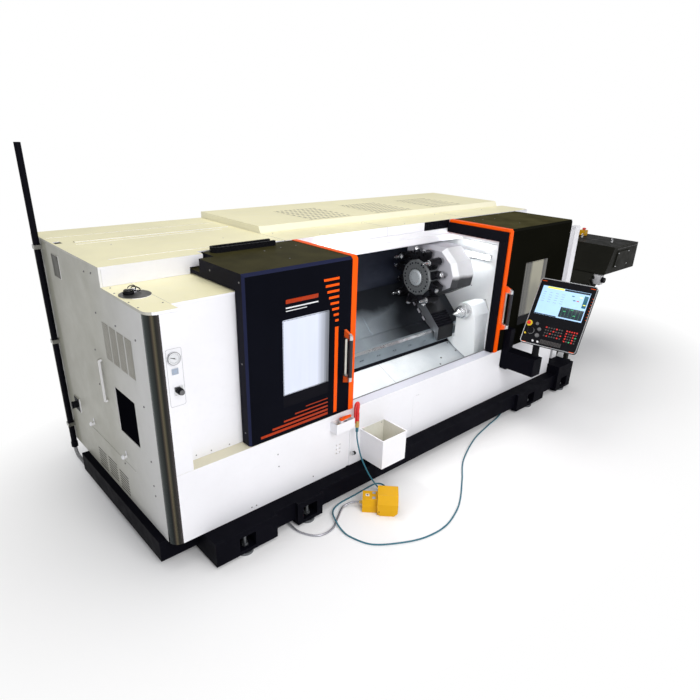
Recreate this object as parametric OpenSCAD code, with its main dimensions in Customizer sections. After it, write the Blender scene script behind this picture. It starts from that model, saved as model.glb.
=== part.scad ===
// Slant-bed turning centre: enclosure with two sliding doors, turret, tailstock,
// swivelling control panel, chip conveyor, foot switch and air hose.
// X runs along the spindle to the right, Y to the back, Z up. Millimetres.

/* [Enclosure] */
// Length of the enclosure, left side to right side
body_len = 4490; // [4480:5:4520]
// Depth of the enclosure, front panel to back
body_depth = 1882; // [1860:2:1900]
// Height of the flat roof
roof_z = 1775; // [1770:1:1780]
// Height of the low step above the headstock
step_z = 1660; // [1655:1:1662]
// Height of the sill under the doors
sill_z = 674; // [665:1:675]
// Height of the lower edge of the white panels
skirt_z = 194; // [190:1:198]
// Radius of the bright corner post
post_r = 65; // [55:1:70]
// Length by which the lower front panel stops short of the right side
panel_short = 245; // [230:5:290]

/* [Doors] */
// Left edge of the left door, standing open
left_door_x = 560; // [556:1:570]
// Leading edge of the left door, standing open
left_lead_x = 1426; // [1420:1:1430]
// Leading edge of the right door, standing open, from the right side
right_lead = 1320; // [1310:1:1325]
// Right edge of the right door, standing open, from the right side
right_back = 269; // [260:1:280]
// Thickness of the front leg of a door
door_t = 85; // [70:1:86]
// Depth of the hood on top of a door
hood_y = 645; // [630:1:646]
// Height of the hood on top of a door
hood_t = 108; // [90:1:108]
// Width of the coloured leading edge
trim_w = 45; // [35:1:50]

/* [Machine] */
// Height of the spindle axis
axis_z = 990; // [985:1:995]
// Distance of the spindle axis from the front
axis_y = 350; // [345:1:355]
// Distance of the turret axis from the spindle axis along the slope
turret_gap = 433; // [431:1:435]
// Distance across the flats of the turret disc
turret_af = 320; // [310:2:324]
// Left face of the turret disc, from the right side
turret_back = 1720; // [1715:1:1730]
// Diameter of the chuck
chuck_d = 254; // [240:2:260]
// Point of the live centre, from the right side
centre_back = 1524; // [1520:1:1530]
// Left face of the tailstock cover, from the right side
tail_back = 1328; // [1324:1:1330]

/* [Control panel] */
// Width of the panel
panel_w = 495; // [480:1:510]
// Height of the panel
panel_h = 614; // [600:1:625]
// Thickness of the panel
panel_t = 80; // [60:1:84]
// Turn of the panel about the post
panel_yaw = -79.5; // [-85:0.5:-74]
// Backward lean of the panel
panel_lean = 32.4; // [30:0.2:34]

/* [Conveyor] */
// Height of the top of the discharge hood
conv_z = 1350; // [1330:1:1360]
// Right end of the discharge hood
conv_x = 6133; // [6120:1:6150]

/* [Small parts] */
// Diameter of the air hose
hose_d = 11; // [9:0.5:12]
// Diameter of the foot switch cable
cable_d = 14; // [12:0.5:15]
// Diameter of the supply pipe
pipe_d = 42; // [38:1:44]
// Height at which the supply pipe is cut off
pipe_z = 2380; // [2300:5:2400]

/* [Hidden] */
$fn = 48;

// Common gaps
gap = 0.5;
fit = 0.05;

// Places measured from the right side
panel_end = body_len - panel_short;
right_lead_x = body_len - right_lead;
right_door_x = body_len - right_back;
turret_x = body_len - turret_back;
centre_x = body_len - centre_back;
tail_x = body_len - tail_back;

// Extents of the whole, which set the origin under its middle
pipe_x = -26;
pipe_y = 1672;
plinth_x = -50;
base_back = 1420;
panel_c = [body_len - 1010, -390, 1078];
front_y = panel_c[1] - panel_w / 2 * abs(sin(panel_yaw)) - panel_h / 2 * cos(panel_yaw) * sin(panel_lean);
origin_x = (plinth_x + conv_x) / 2;
origin_y = (front_y + body_depth) / 2;

// Slope of the bed: slope_c is the height of the sloping plane at y = 0
slope_c = 205;
bed_x0 = 892;
bed_x1 = body_len - 1090;
rail_y = 530;
turret_y = axis_y + turret_gap * cos(45);
turret_z = axis_z + turret_gap * sin(45);
disc_t = 112;
house_x0 = turret_x + disc_t + 16;
house_x1 = turret_x + 370;
chuck_x = bed_x0 + 42;
saddle_x = turret_x + 160;
cover_x1 = bed_x0 + 653;
cover_x2 = turret_x - 530;
recess_y = 94;
track_y = 652;
rail_h = 113;
track_top = roof_z - 74;
track_z = track_top - rail_h;
fascia_z = roof_z - 73;
ceiling_z = roof_z - 135;
roof_split = left_lead_x - 87;
roof_back = 985;
seal_w = 30;
trim_lift = 3;
door_z = sill_z + trim_lift + 0.4;
edge_c = 18;
edge_w = 20;
win_w = 368;
win_h = 585;
win_z = sill_z + 198;
left_win_x = left_door_x + 263;
right_win_x = right_lead_x + 320;
hood_z = roof_z + 1 - hood_t;
conv_y0 = 97;
conv_y1 = 880;
hood_low = conv_z - 295;
gun_pos = [1431, -50];
flat_r = turret_af / 2;
block_h = 46;
jaw_step = 16;
arm_post = [body_len - 1125, -300];
arm_top = sill_z + 4;
feet = [[198, 654], [825, 1039], [body_len - 1000, body_len - 513], [body_len - 260, body_len + 25]];
rear_feet = [300, 1700, body_len - 1590, body_len - 290];
foot_top = skirt_z + 96;
switch_pos = [1324, -248];
switch_turn = -45;
pedal_pin = [122, 34];
hose_end = [body_len - 1124, -55, 44];
cable_end = [782, -44, 40];
knob_pos = [129, 1205];
lever_pos = [1285, -43];

// Moves the machine so that its origin is under the middle
module place() {
  translate([-origin_x, -origin_y, 0]) children();
}
// Box between two opposite corners
module block(a, b) {
  translate(a) cube(b - a);
}
// Profile in Y and Z run along X
module along_x(x0, x1) {
  translate([x0, 0, 0]) rotate([90, 0, 90]) linear_extrude(x1 - x0) children();
}
// Profile in X and Z run along Y
module along_y(y0, y1) {
  translate([0, y1, 0]) rotate([90, 0, 0]) linear_extrude(y1 - y0) children();
}
// Round bar along X
module rod_x(x0, x1, y, z, r) {
  translate([x0, y, z]) rotate([0, 90, 0]) cylinder(h = x1 - x0, r = r);
}
// Round bar along Y
module rod_y(y0, y1, x, z, r) {
  translate([x, y0, z]) rotate([-90, 0, 0]) cylinder(h = y1 - y0, r = r);
}
// Rectangle with round corners
module round_rect(w, h, r) {
  translate([r, 0]) square([w - 2 * r, h]);
  translate([0, r]) square([w, h - 2 * r]);
  for (x = [r, w - r], y = [r, h - r]) translate([x, y]) circle(r);
}
// Frame of the control panel: X to its right, Y up its face, Z out of its face
module on_panel(u, v) {
  translate(panel_c) rotate([90 - panel_lean, 0, panel_yaw])
    translate([(u - 0.5) * panel_w, (v - 0.5) * panel_h, 0]) children();
}
// Frame of the turret: X along its axis, Z out along one flat
module on_turret(i) {
  translate([turret_x, turret_y, turret_z]) rotate([i * 30 + 15, 0, 0]) children();
}
// Smooth route through hand-placed points
function mid(a, b, c, d, t) = 0.5 * (2 * b + (c - a) * t + (2 * a - 5 * b + 4 * c - d) * t * t
  + (3 * b - a - 3 * c + d) * t * t * t);
function route(p, n) = [for (i = [0:len(p) - 2], k = [0:n - 1])
  mid(p[max(i - 1, 0)], p[i], p[i + 1], p[min(i + 2, len(p) - 1)], k / n), p[len(p) - 1]];
function unit(v) = v / norm(v);
function heading(q, i) = unit(q[min(i + 1, len(q) - 1)] - q[max(i - 1, 0)]);
function side(t) = unit(cross(t, abs(t[2]) > 0.9 ? [0, 1, 0] : [0, 0, 1]));
// Tube of m sides along a route
module tube(q, r, m) {
  rings = [for (i = [0:len(q) - 1]) let (t = heading(q, i), a = side(t), b = cross(t, a))
    for (k = [0:m - 1]) q[i] + r * cos(360 * k / m) * a + r * sin(360 * k / m) * b];
  n = len(q);
  walls = [for (i = [0:n - 2], k = [0:m - 1])
    [i * m + k, (i + 1) * m + k, (i + 1) * m + (k + 1) % m, i * m + (k + 1) % m]];
  polyhedron(points = rings,
    faces = concat(walls, [[for (k = [0:m - 1]) k], [for (k = [m - 1:-1:0]) (n - 1) * m + k]]),
    convexity = 6);
}

// Black base with plinth, skirt and foot blocks
module base_frame() {
  color([0.05, 0.05, 0.06]) place() difference() {
    union() {
      block([plinth_x, 95, 50], [body_len - 10, base_back, skirt_z]);
      block([200, -107, 55], [body_len - 258, 95, skirt_z]);
      for (f = feet) block([f[0], -140, 20], [f[1], 120, skirt_z]);
      block([feet[3][0], -140, 100], [feet[3][1], -1, foot_top]);
      block([panel_end + 1, -2, 100], [feet[3][1], 104, foot_top]);
      for (x = rear_feet) block([x - 150, base_back - 240, 20], [x + 150, base_back, 60]);
      translate(hose_end) cylinder(h = 12, r = 9);
      translate(cable_end) cylinder(h = 16, r = 11);
    }
    for (f = feet) {
      block([(f[0] + f[1]) / 2 - 60, -150, 45], [(f[0] + f[1]) / 2 + 60, -40, 150]);
      translate([(f[0] + f[1]) / 2, -95, 10]) cylinder(h = 40, d = 30);
    }
  }
}
// Pads on the floor with their leveling bolts
module leveling_feet() {
  color([0.35, 0.36, 0.38]) place() {
    for (f = feet) translate([(f[0] + f[1]) / 2, -95, 0]) {
      cylinder(h = 19.5, d = 110);
      cylinder(h = 120, d = 24);
      translate([0, 0, 50]) cylinder(h = 20, d = 46, $fn = 6);
    }
    for (x = rear_feet) translate([x, base_back - 120, 0]) cylinder(h = 20, d = 130);
  }
}
// Sloping bed casting with its front rail
module slant_bed() {
  color([0.45, 0.46, 0.47]) place() difference() {
    along_x(bed_x0, bed_x1) polygon([[560, skirt_z], [560, 640], [rail_y, 655], [rail_y, 772], [548, 790],
      [640, 845], [960, 960 + slope_c], [960, skirt_z]]);
    for (i = [0:11], k = [0, 26]) rod_y(525, 545, 1000 + i * 200 + k, 715, 7);
  }
}
// Headstock casting with the spindle bearing bore
module headstock() {
  color([0.8, 0.8, 0.78]) place() difference() {
    block([bed_x0 - 592, 130, skirt_z], [bed_x0 - 14, 940, 1250]);
    rod_x(bed_x0 - 600, bed_x0 - 2, axis_y, axis_z, 70 + fit);
  }
}
// Left side panel with vent fields and cover plates
module left_side_panel() {
  color([0.86, 0.86, 0.84]) place() {
    difference() {
      along_x(0, 14) polygon([[post_r, skirt_z], [1552, skirt_z], [1552, roof_z - 15], [602, roof_z - 15],
        [602, step_z - 16], [post_r, step_z - 16]]);
      for (c = [0:3], r = [0:15])
        block([-1, 250 + c * 110, 1208 + r * 15], [15, 340 + c * 110, 1215 + r * 15]);
      for (c = [0:2], r = [0:6])
        block([-1, 620 + c * 190, 222 + c % 2 * 12 + r * 22], [15, 770 + c * 190, 231 + c % 2 * 12 + r * 22]);
      block([-1, 323, 733], [4, 616, 1036]);
    }
    translate([-26, 785, 0]) difference() {
      translate([0, 10, 870]) rotate([90, 0, 0]) linear_extrude(20) round_rect(52, 295, 12);
      translate([14, 11, 884]) rotate([90, 0, 0]) linear_extrude(22) round_rect(52, 267, 8);
      block([27, -12, 860], [60, 12, 1170]);
    }
    for (y = [584, 1148]) rod_x(-18, 0, y, 553, 12);
    difference() {
      block([-8, 1406, 530], [0, 1512, 640]);
      rod_x(-9, 1, 1459, 584, 10 + fit);
    }
    block([-3, 1320, 1552], [0, 1455, 1707]);
    block([-2, 450, 497], [0, 1217, 503]);
  }
}
// Bright quarter-round post at the front left corner
module corner_post() {
  color([0.42, 0.42, 0.43]) place() intersection() {
    translate([post_r, post_r, skirt_z]) cylinder(h = step_z - 17 - skirt_z, r = post_r, $fn = 96);
    block([0, 0, 0], [post_r, post_r, 2000]);
  }
}
// Front cover beside the corner post: flush strip and the field set back behind the door
module left_front_cover() {
  color([0.95, 0.95, 0.95]) place() difference() {
    union() {
      block([post_r, 0, sill_z + 1], [173, recess_y + 12, step_z - 17]);
      block([170, recess_y, sill_z + 1], [left_lead_x - 6, recess_y + 12, step_z - 17]);
    }
    rod_y(-1, 40, knob_pos[0], knob_pos[1], 8 + fit);
  }
}
// Low flat step over the headstock with the filler cover
module left_step_plate() {
  color([0.93, 0.9, 0.78]) place() {
    difference() {
      union() {
        translate([0, 0, step_z - 16]) linear_extrude(16) {
          translate([post_r, post_r]) circle(post_r, $fn = 96);
          translate([post_r, 0]) square([173 - post_r, 100]);
          translate([0, post_r]) square([left_lead_x - 6, 635 - post_r]);
        }
      }
      block([173, -1, step_z - 20], [1500, recess_y - 4, step_z + 5]);
      block([-1, 601, step_z - 20], [14.5, 640, step_z + 5]);
    }
    translate([95, 352, step_z]) cylinder(h = 4, r = 86);
    translate([68, 372, step_z + 4]) cylinder(h = 24, r = 24);
    block([66, 384, step_z + 4], [120, 392, step_z + 30]);
  }
}
// Long lower front panel with the sill on top
module front_panel() {
  color([0.96, 0.96, 0.97]) place() {
    difference() {
      block([post_r, 0, skirt_z], [panel_end, 40, sill_z]);
      block([1375, -1, skirt_z - 1], [1409, 6, 490]);
      for (x = [1280, 1313], z = [349, 381, 414]) rod_y(-1, 14, x, z, 6);
      for (x = [2130, 2152]) rod_y(-1, 14, x, 560, 4);
      block([2093, -1, 277], [2097, 1.5, 557]);
      block([2022, -1, 277], [2097, 1.5, 281]);
    }
    block([174, 40, sill_z - 12], [panel_end, 104, sill_z]);
  }
}
// Rear cabinet, full height
module rear_cabinet() {
  bay = body_len / 5;
  color([0.9, 0.9, 0.89]) place() {
    block([14.5, 973, skirt_z], [body_len - 14.5, 1553, roof_z - 30]);
    difference() {
      block([0, 1553, skirt_z], [body_len, body_depth, roof_z - 15]);
      for (i = [1:4])
        block([i * bay - 2, body_depth - 4, skirt_z + 60], [i * bay + 2, body_depth + 1, roof_z - 80]);
      for (z = [skirt_z + 60, roof_z - 84])
        block([40, body_depth - 4, z], [body_len - 40, body_depth + 1, z + 4]);
      for (g = [0, 3], r = [0:9]) block([g * bay + 240, body_depth - 8, 420 + r * 26],
        [g * bay + bay - 240, body_depth + 1, 432 + r * 26]);
    }
  }
}
// Flat roof covers, left and centre, with their front fascias
module roof_covers() {
  color([0.96, 0.94, 0.83]) place() {
    difference() {
      block([0, 600, roof_z - 14.5], [roof_split, body_depth, roof_z]);
      block([left_door_x + 90, 590, fascia_z - 2], [roof_split + 61, 680, roof_z + 5]);
      block([15, 1380, roof_z - 5], [60, 1450, roof_z + 5]);
    }
    block([14.5, 600, step_z + 0.5], [left_door_x - 5, 614, roof_z - 14]);
    block([14.5, 600, fascia_z], [left_door_x + 90, 614, roof_z - 14]);
    block([left_door_x + 90, 680, fascia_z], [roof_split, 694, roof_z - 14]);
    for (y = [760, 1300]) block([120, y, roof_z], [1200, y + 6, roof_z + 2]);
    block([roof_split + 1, 668, roof_z - 14.5], [body_len, roof_back - 1, roof_z]);
    block([roof_split + 1, 668, fascia_z], [body_len, 684, roof_z - 14]);
  }
}
// Raised hood along the back of the roof with three louvre fields
module roof_hood() {
  x0 = roof_split + 1;
  x1 = body_len - 100;
  top = roof_z + 50;
  pitch = (x1 - x0) / 4;
  color([0.96, 0.94, 0.84]) place() difference() {
    along_x(x0, x1) polygon([[roof_back, roof_z - 14.5], [roof_back, roof_z + 8], [roof_back + 24, top],
      [body_depth, top], [body_depth, roof_z - 14.5]]);
    for (g = [1:3], r = [0:11]) translate([x0 + g * pitch - 225, 1040 + r * 48, top - 10]) cube([450, 16, 20]);
  }
}
// White rail on which the doors run
module door_track() {
  color([0.95, 0.95, 0.94]) place() along_x(bed_x0 + 1, bed_x1 - 1) polygon([[track_y, track_z + 8],
    [track_y + 8, track_z], [track_y + 46, track_z], [track_y + 46, ceiling_z], [973, ceiling_z],
    [973, track_top], [track_y, track_top], [track_y, track_top - 34], [track_y + 9, track_top - 38],
    [track_y + 9, track_top - 48], [track_y, track_top - 52]]);
}
// Fixed cover behind the right door: set-back field, step on top and end post
module right_front_cover() {
  color([0.9, 0.9, 0.9]) place() {
    block([right_lead_x + 10, recess_y + 12, sill_z + 1], [body_len - 15, recess_y + 24, step_z]);
    block([right_lead_x + 10, recess_y + 12, step_z - 16], [body_len - 15, 635, step_z]);
    block([body_len - 90, 52, foot_top + gap], [body_len, recess_y + 11.5, roof_z - 85]);
  }
}
module right_end_panel() {
  color([0.9, 0.9, 0.88]) place() along_x(body_len - 14, body_len) polygon([[106, skirt_z + 100],
    [1552, skirt_z + 100], [1552, roof_z - 15], [686, roof_z - 15], [686, step_z], [106, step_z]]);
}
// Walls of the work chamber: dark back, white ends, the left one pierced for the spindle
module chamber_walls() {
  color([0.8, 0.8, 0.8]) place() {
    block([bed_x0, 960.5, 960 + slope_c], [bed_x1, 972.5, ceiling_z - 1]);
    difference() {
      block([bed_x0 - 12, 132, 455], [bed_x0 - gap, 959, ceiling_z - 1]);
      rod_x(bed_x0 - 22, bed_x0 + 8, axis_y, axis_z, 118);
    }
    block([bed_x1 + gap, 132, 455], [bed_x1 + 12, 959, ceiling_z - 1]);
    block([bed_x1 - 30, 240, track_z - 13], [bed_x1 + gap, 640, track_z - 1]);
  }
}
// Bright chip pan that falls to the front
module chip_pan() {
  color([0.75, 0.77, 0.78]) place() along_x(bed_x0 - gap, bed_x1 + gap) polygon([[553, 640], [127, 454],
    [127, 600], [122, 600], [122, 446], [553, 634]]);
}
// Lamp tube along the right wall
module work_light() {
  color([0.95, 0.97, 1]) place() {
    block([bed_x1 - 36, 300, track_z - 148], [bed_x1, 665, track_z - 104]);
    rod_y(310, 655, bed_x1 - 40, track_z - 126, 14);
  }
}
// Way cover sheet: one thin plate on the slope
module cover_sheet(x0, x1, lift) {
  along_x(x0, x1) polygon([[648, 648 + slope_c + lift], [952, 952 + slope_c + lift],
    [952, 952 + slope_c + lift + 3], [648, 648 + slope_c + lift + 3]]);
}
module way_cover_fixed() {
  color([0.4, 0.42, 0.44]) place() cover_sheet(bed_x0 + 1, cover_x1 + 95, 1);
}
module way_cover_middle() {
  color([0.42, 0.44, 0.46]) place() cover_sheet(cover_x1, cover_x2 + 90, 5);
}
// Gauge on the service strip with a small square plate below it
module pressure_gauge() {
  color([0.9, 0.91, 0.92]) place() {
    difference() {
      rod_y(-14, 0, 117, 1396, 36);
      rod_y(-15, -10, 117, 1396, 31);
    }
    block([100, -4, 1300], [138, 0, 1336]);
    difference() {
      block([104, -9, 1180], [154, 0, 1230]);
      rod_y(-10, 1, knob_pos[0], knob_pos[1], 8 + fit);
    }
  }
}
// Knob of the pressure regulator
module regulator_knob() {
  color([0.1, 0.1, 0.11]) place() {
    difference() {
      translate([knob_pos[0], -9.5, knob_pos[1]]) rotate([90, 0, 0]) rotate_extrude()
        polygon([[0, 0], [19, 0], [19, 20], [16, 24], [16, 31], [14.5, 32.5], [0, 32.5]]);
      for (i = [0:11]) translate([knob_pos[0], -9, knob_pos[1]]) rotate([90, i * 30, 0])
        translate([19.6, 0, -1]) cylinder(h = 22, r = 2, $fn = 8);
    }
    rod_y(-9.5, 30, knob_pos[0], knob_pos[1], 8);
  }
}
// Supply pipe at the rear left corner with its clamps and the bent tail into the base
module supply_conduit() {
  bend = 70;
  color([0.08, 0.08, 0.1]) place() {
    translate([pipe_x, pipe_y, 160]) cylinder(h = pipe_z - 160, d = pipe_d);
    translate([pipe_x, pipe_y, 131]) cylinder(h = 40, d = pipe_d + 8);
    translate([pipe_x, pipe_y - bend, bend + 62]) rotate([90, 0, 90]) rotate([180, 0, 0])
      rotate_extrude(angle = 90) translate([bend, 0]) circle(13);
    rod_y(base_back + gap, pipe_y - bend, pipe_x, 62, 13);
    for (z = [320, 1010, 1700]) block([pipe_x - 24, pipe_y - 26, z], [0, pipe_y + 26, z + 28]);
  }
}
// Open bin on the front panel
module parts_bin() {
  color([0.95, 0.95, 0.94]) place() difference() {
    union() {
      block([1515, -240, 233], [1762, -0.5, 472]);
      block([1509, -246, 462], [1768, -0.5, 472]);
    }
    block([1518, -237, 236], [1759, -3.5, 480]);
  }
}
// Open tray with a lever valve and a hook for the blow gun
module tool_tray() {
  color([0.95, 0.95, 0.95]) place() {
    difference() {
      block([1219, -70, 555], [1388, 0, 632]);
      block([1222, -67, 559], [1385, -3, 640]);
    }
    difference() {
      union() {
        rod_x(1221, 1250, lever_pos[1], 600, 12);
        translate([1246, lever_pos[1], 600]) rotate([0, 90, 0]) cylinder(h = 74, r = 19, $fn = 6);
        rod_x(1318, 1340, lever_pos[1], 600, 20);
        translate([lever_pos[0], lever_pos[1], 600]) cylinder(h = 40, r = 14);
      }
      translate([lever_pos[0], lever_pos[1], 600]) cylinder(h = 60, r = 6 + fit);
    }
    block([1388, -16, 560], [1440, 0, 580]);
    block([1420, -36, 560], [1440, -15, 580]);
  }
}
// Lever of the air valve in the tray
module valve_lever() {
  color([1, 0.38, 0.05]) place() translate([lever_pos[0], lever_pos[1], 0]) {
    translate([0, 0, 605]) cylinder(h = 40, r = 6);
    translate([0, 0, 641]) cylinder(h = 6, r = 13);
    translate([0, 0, 644]) linear_extrude(13) {
      circle(15);
      polygon([[0, 15], [80, 8], [80, -8], [0, -15]]);
      translate([80, 0]) circle(8);
    }
  }
}
// Base box of the conveyor and its sloping riser on two legs
module conveyor_riser() {
  foot = [body_len + 290, 80];
  top = [conv_x - 483, hood_low - gap];
  low = foot + [-120, 210];
  crest = top - [250, 0];
  run = crest - low;
  leg = foot + 0.425 * (top - foot);
  color([0.1, 0.1, 0.11]) place() {
    along_y(220, 760) polygon([[body_len - 10, 80], foot, top, crest, low, [body_len - 10, 290]]);
    along_y(205, 221) polygon([foot + [-60, 30], top + [-60, 0], top + [-100, 0], foot + [-100, 30]]);
    for (y = [240, 700]) {
      block([leg[0], y, 0], [leg[0] + 50, y + 40, leg[1] + 26]);
      block([leg[0] - 30, y - 20, 0], [leg[0] + 80, y + 60, 12]);
    }
    for (i = [0:4]) translate([low[0], 200, low[1]] + (0.74 + 0.05 * i) * [run[0], 0, run[1]])
      rotate([0, -atan2(run[1], run[0]), 0]) translate([0, 0, -90]) cube([18, 21, 120]);
    translate(crest[0] * [1, 0, 0] + crest[1] * [0, 0, 1]) {
      block([-20, 130, -125], [60, 221, -15]);
      rod_y(96, 130, 20, -70, 30);
    }
  }
}
// Discharge hood of the conveyor, open below
module conveyor_hood() {
  color([0.13, 0.13, 0.12]) place() difference() {
    union() {
      along_y(conv_y0, conv_y1) polygon([[conv_x - 610, conv_z], [conv_x, conv_z], [conv_x, hood_low],
        [conv_x - 748, hood_low]]);
      along_y(conv_y0 - 12, conv_y0) polygon([[conv_x - 560, hood_low + 60], [conv_x - 230, hood_low + 60],
        [conv_x - 230, conv_z - 60], [conv_x - 520, conv_z - 60]]);
    }
    block([conv_x - 433, conv_y0 + 20, hood_low - 5], [conv_x - 20, conv_y1 - 20, conv_z - 20]);
  }
}
// Eye bolts and the stop button box on the conveyor hood
module lifting_eyes() {
  color([0.7, 0.7, 0.72]) place() {
    for (y = [284, 659]) translate([conv_x - 300, y, conv_z]) {
      cylinder(h = 8, r = 14);
      translate([0, 0, 26]) rotate([90, 0, 0]) rotate_extrude() translate([17, 0]) circle(5, $fn = 24);
    }
    translate([conv_x - 141, 727, conv_z]) difference() {
      block([-37, -37, 0], [38, 38, 60]);
      translate([0, 0, 20]) cylinder(h = 50, r = 9 + fit);
    }
  }
}
// Red button of the conveyor stop box
module conveyor_stop_button() {
  color([0.8, 0.06, 0.05]) place() translate([conv_x - 141, 727, conv_z + 40]) rotate_extrude()
    polygon([[0, 0], [9, 0], [9, 30], [20, 30], [22, 33], [22, 42], [17, 47], [0, 48]]);
}
// Arm that carries the control panel in front of the right door
module panel_arm() {
  color([0.07, 0.07, 0.09]) place() {
    block([arm_post[0] - 75, arm_post[1] - 45, arm_top - 164], [arm_post[0] + 55, -gap, arm_top]);
    block([arm_post[0] - 75, -75, arm_top - 178], [arm_post[0] - 13, -8, arm_top + 212]);
    translate([arm_post[0], arm_post[1], arm_top]) cylinder(h = 22, r = 34);
  }
}
// Foot switch in its own frame: X to the toe opening, Z up
module on_switch() {
  translate([switch_pos[0], switch_pos[1], 0]) rotate([0, 0, switch_turn]) children();
}
module footswitch_housing() {
  color([0.94, 0.72, 0.08]) place() on_switch() {
    along_x(0, 109) polygon([[-65, 0], [65, 0], [65, 52], [52, 104], [-52, 104], [-65, 52]]);
    difference() {
      along_x(108, 255) polygon([[-98, 0], [98, 0], [98, 95], [60, 150], [-60, 150], [-98, 95]]);
      along_x(112, 260) polygon([[-90, 8], [90, 8], [90, 92], [56, 142], [-56, 142], [-90, 92]]);
      rod_y(-99, 99, pedal_pin[0], pedal_pin[1], 5 + fit);
      along_y(-100, 100) polygon([[228, -1], [260, -1], [260, 30]]);
      for (y = [-100, 89]) along_y(y, y + 11) polygon([[107, -1], [128, -1], [107, 40]]);
    }
    rod_x(-22, 0, 0, 40, 10);
    translate([-8, 0, 40]) rotate([0, 90, 0]) cylinder(h = 8, r = 14, $fn = 6);
  }
}
// Pedal inside the hood of the foot switch
module foot_pedal() {
  color([0.12, 0.12, 0.12]) place() on_switch() {
    translate([pedal_pin[0], -55, pedal_pin[1]]) rotate([0, -14, 0]) translate([-4, 0, -6]) {
      cube([120, 110, 12]);
      for (i = [0:6]) translate([20 + i * 14, 4, 11]) cube([6, 102, 3]);
    }
    rod_y(-98, 98, pedal_pin[0], pedal_pin[1], 5);
  }
}
cable_points = [cable_end, [790, -80, 20], [800, -189, 8], [871, -295, 8], [987, -305, 8],
  [1103, -234, 8], [1200, -175, 12], [1270, -194, 32], [1307, -231, 40]];
module footswitch_cable() {
  color([0.6, 0.61, 0.63]) place() tube(route(cable_points, 3), cable_d / 2, 8);
}
hose_points = [[1431, -50, 500], [1433, -56, 430], [1445, -90, 300], [1475, -150, 160], [1535, -190, 60],
  [1600, -180, 10], [1600, -135, 6], [1500, -120, 6], [1350, -116, 6], [1210, -122, 6], [1110, -170, 16],
  [1055, -262, 22], [1030, -360, 10], [1033, -450, 6], [1092, -591, 6], [1246, -701, 6], [1416, -773, 6],
  [1611, -787, 6], [1804, -732, 6], [1960, -650, 6], [2164, -508, 6], [2400, -340, 6], [2750, -190, 6],
  [3100, -110, 6], [3300, -72, 8], [3360, -57, 25], hose_end];
module air_hose() {
  color([0.1, 0.42, 0.5]) place() tube(route(hose_points, 3), hose_d / 2, 8);
}
// Blow gun with its nozzle hooked over the sill
module blow_gun() {
  color([0.85, 0.08, 0.1]) place() translate([gun_pos[0], gun_pos[1], 500]) {
    rotate_extrude() polygon([[0, 0], [8, 0], [9, 3], [9, 16], [7, 18], [7, 30], [10, 36], [13, 52],
      [14, 110], [12, 170], [15, 196], [15, 226], [9, 240], [0, 243]]);
    along_y(-7, 7) polygon([[0, 243], [-16, 240], [-27, 226], [-31, 200], [-28, 80], [-22, 80], [-23, 196],
      [-18, 214], [-8, 222], [0, 222]]);
    rod_x(-22, -8, 0, 150, 4);
  }
}
// Side profile of a door: front leg and hood
module door_profile(grow) {
  top = roof_z + 1 + grow;
  polygon([[-grow, door_z - grow], [door_t, door_z - grow], [door_t, hood_z], [hood_y, hood_z], [hood_y, top],
    [edge_c - grow, top], [-grow, top - edge_c]]);
}
module door_shell(x0, x1, win_x, outer_x) {
  difference() {
    along_x(x0, x1) door_profile(0);
    translate([win_x, 0, win_z]) translate([0, door_t + 1, 0]) rotate([90, 0, 0]) linear_extrude(door_t + 2)
      round_rect(win_w, win_h, 8);
    translate([outer_x, 0, door_z - 1]) rotate([0, 0, 45]) translate([-edge_w / 2, -edge_w / 2, 0])
      cube([edge_w, edge_w, 1200]);
    children();
  }
}
module door_window(win_x) {
  translate([win_x + gap, 14, win_z + gap]) rotate([90, 0, 0]) linear_extrude(10)
    round_rect(win_w - 2 * gap, win_h - 2 * gap, 8 - gap);
}
// Pull handle: flat bow on the door face with a round grip between two caps
module door_handle(x, z0, z1) {
  along_x(x - 9, x + 9) difference() {
    polygon([[0, z0 - 44], [-58, z0 - 22], [-70, z0 - 4], [-70, z1 + 4], [-58, z1 + 22], [0, z1 + 44]]);
    translate([-46, z0 + 14]) round_rect(33, z1 - z0 - 28, 15);
    translate([-75, z0 + 14]) square([30, z1 - z0 - 28]);
  }
  translate([x, -60, z0 + 13]) cylinder(h = z1 - z0 - 26, r = 14);
  for (z = [z0 - 16, z1 - 14]) translate([x, -60, z]) cylinder(h = 30, r = 13);
}
module left_door_shell() {
  color([0.05, 0.05, 0.07]) place() door_shell(left_door_x, left_lead_x - trim_w, left_win_x, left_door_x)
    block([left_door_x - 1, 485, hood_z + 24], [left_door_x + 105, hood_y + 1, roof_z + 9]);
}
module left_door_window() {
  color([0.82, 0.86, 0.9]) place() door_window(left_win_x);
}
module left_door_trim() {
  color([1, 0.35, 0.06]) place() along_x(left_lead_x - trim_w + 0.2, left_lead_x) door_profile(trim_lift);
}
module left_door_handle() {
  color([0.08, 0.08, 0.09]) place() door_handle(left_lead_x - 91, 950, 1250);
}
// Bend of the cable chain that lies on the left hood
module cable_chain() {
  color([0.07, 0.07, 0.06]) place() translate([left_door_x + 140, hood_y - 89, roof_z + 1]) difference() {
    linear_extrude(34) {
      translate([46, 42]) circle(42);
      translate([46, 0]) square([430, 84]);
    }
    translate([0, 0, -1]) linear_extrude(40) {
      translate([46, 42]) circle(22);
      translate([46, 20]) square([440, 44]);
    }
    for (i = [0:12]) translate([60 + i * 32, -1, 22]) cube([4, 90, 20]);
    for (i = [0:12], y = [-1, 82]) translate([58 + i * 32, y, 6]) cube([8, 3, 16]);
    for (a = [110:35:250]) translate([46, 42, 22]) rotate([0, 0, a]) translate([20, -2, 0]) cube([30, 4, 20]);
  }
}
module right_door_shell() {
  color([0.05, 0.05, 0.07]) place() door_shell(right_lead_x + trim_w, right_door_x, right_win_x,
    right_door_x);
}
module right_door_window() {
  color([0.82, 0.86, 0.9]) place() door_window(right_win_x);
}
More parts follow.
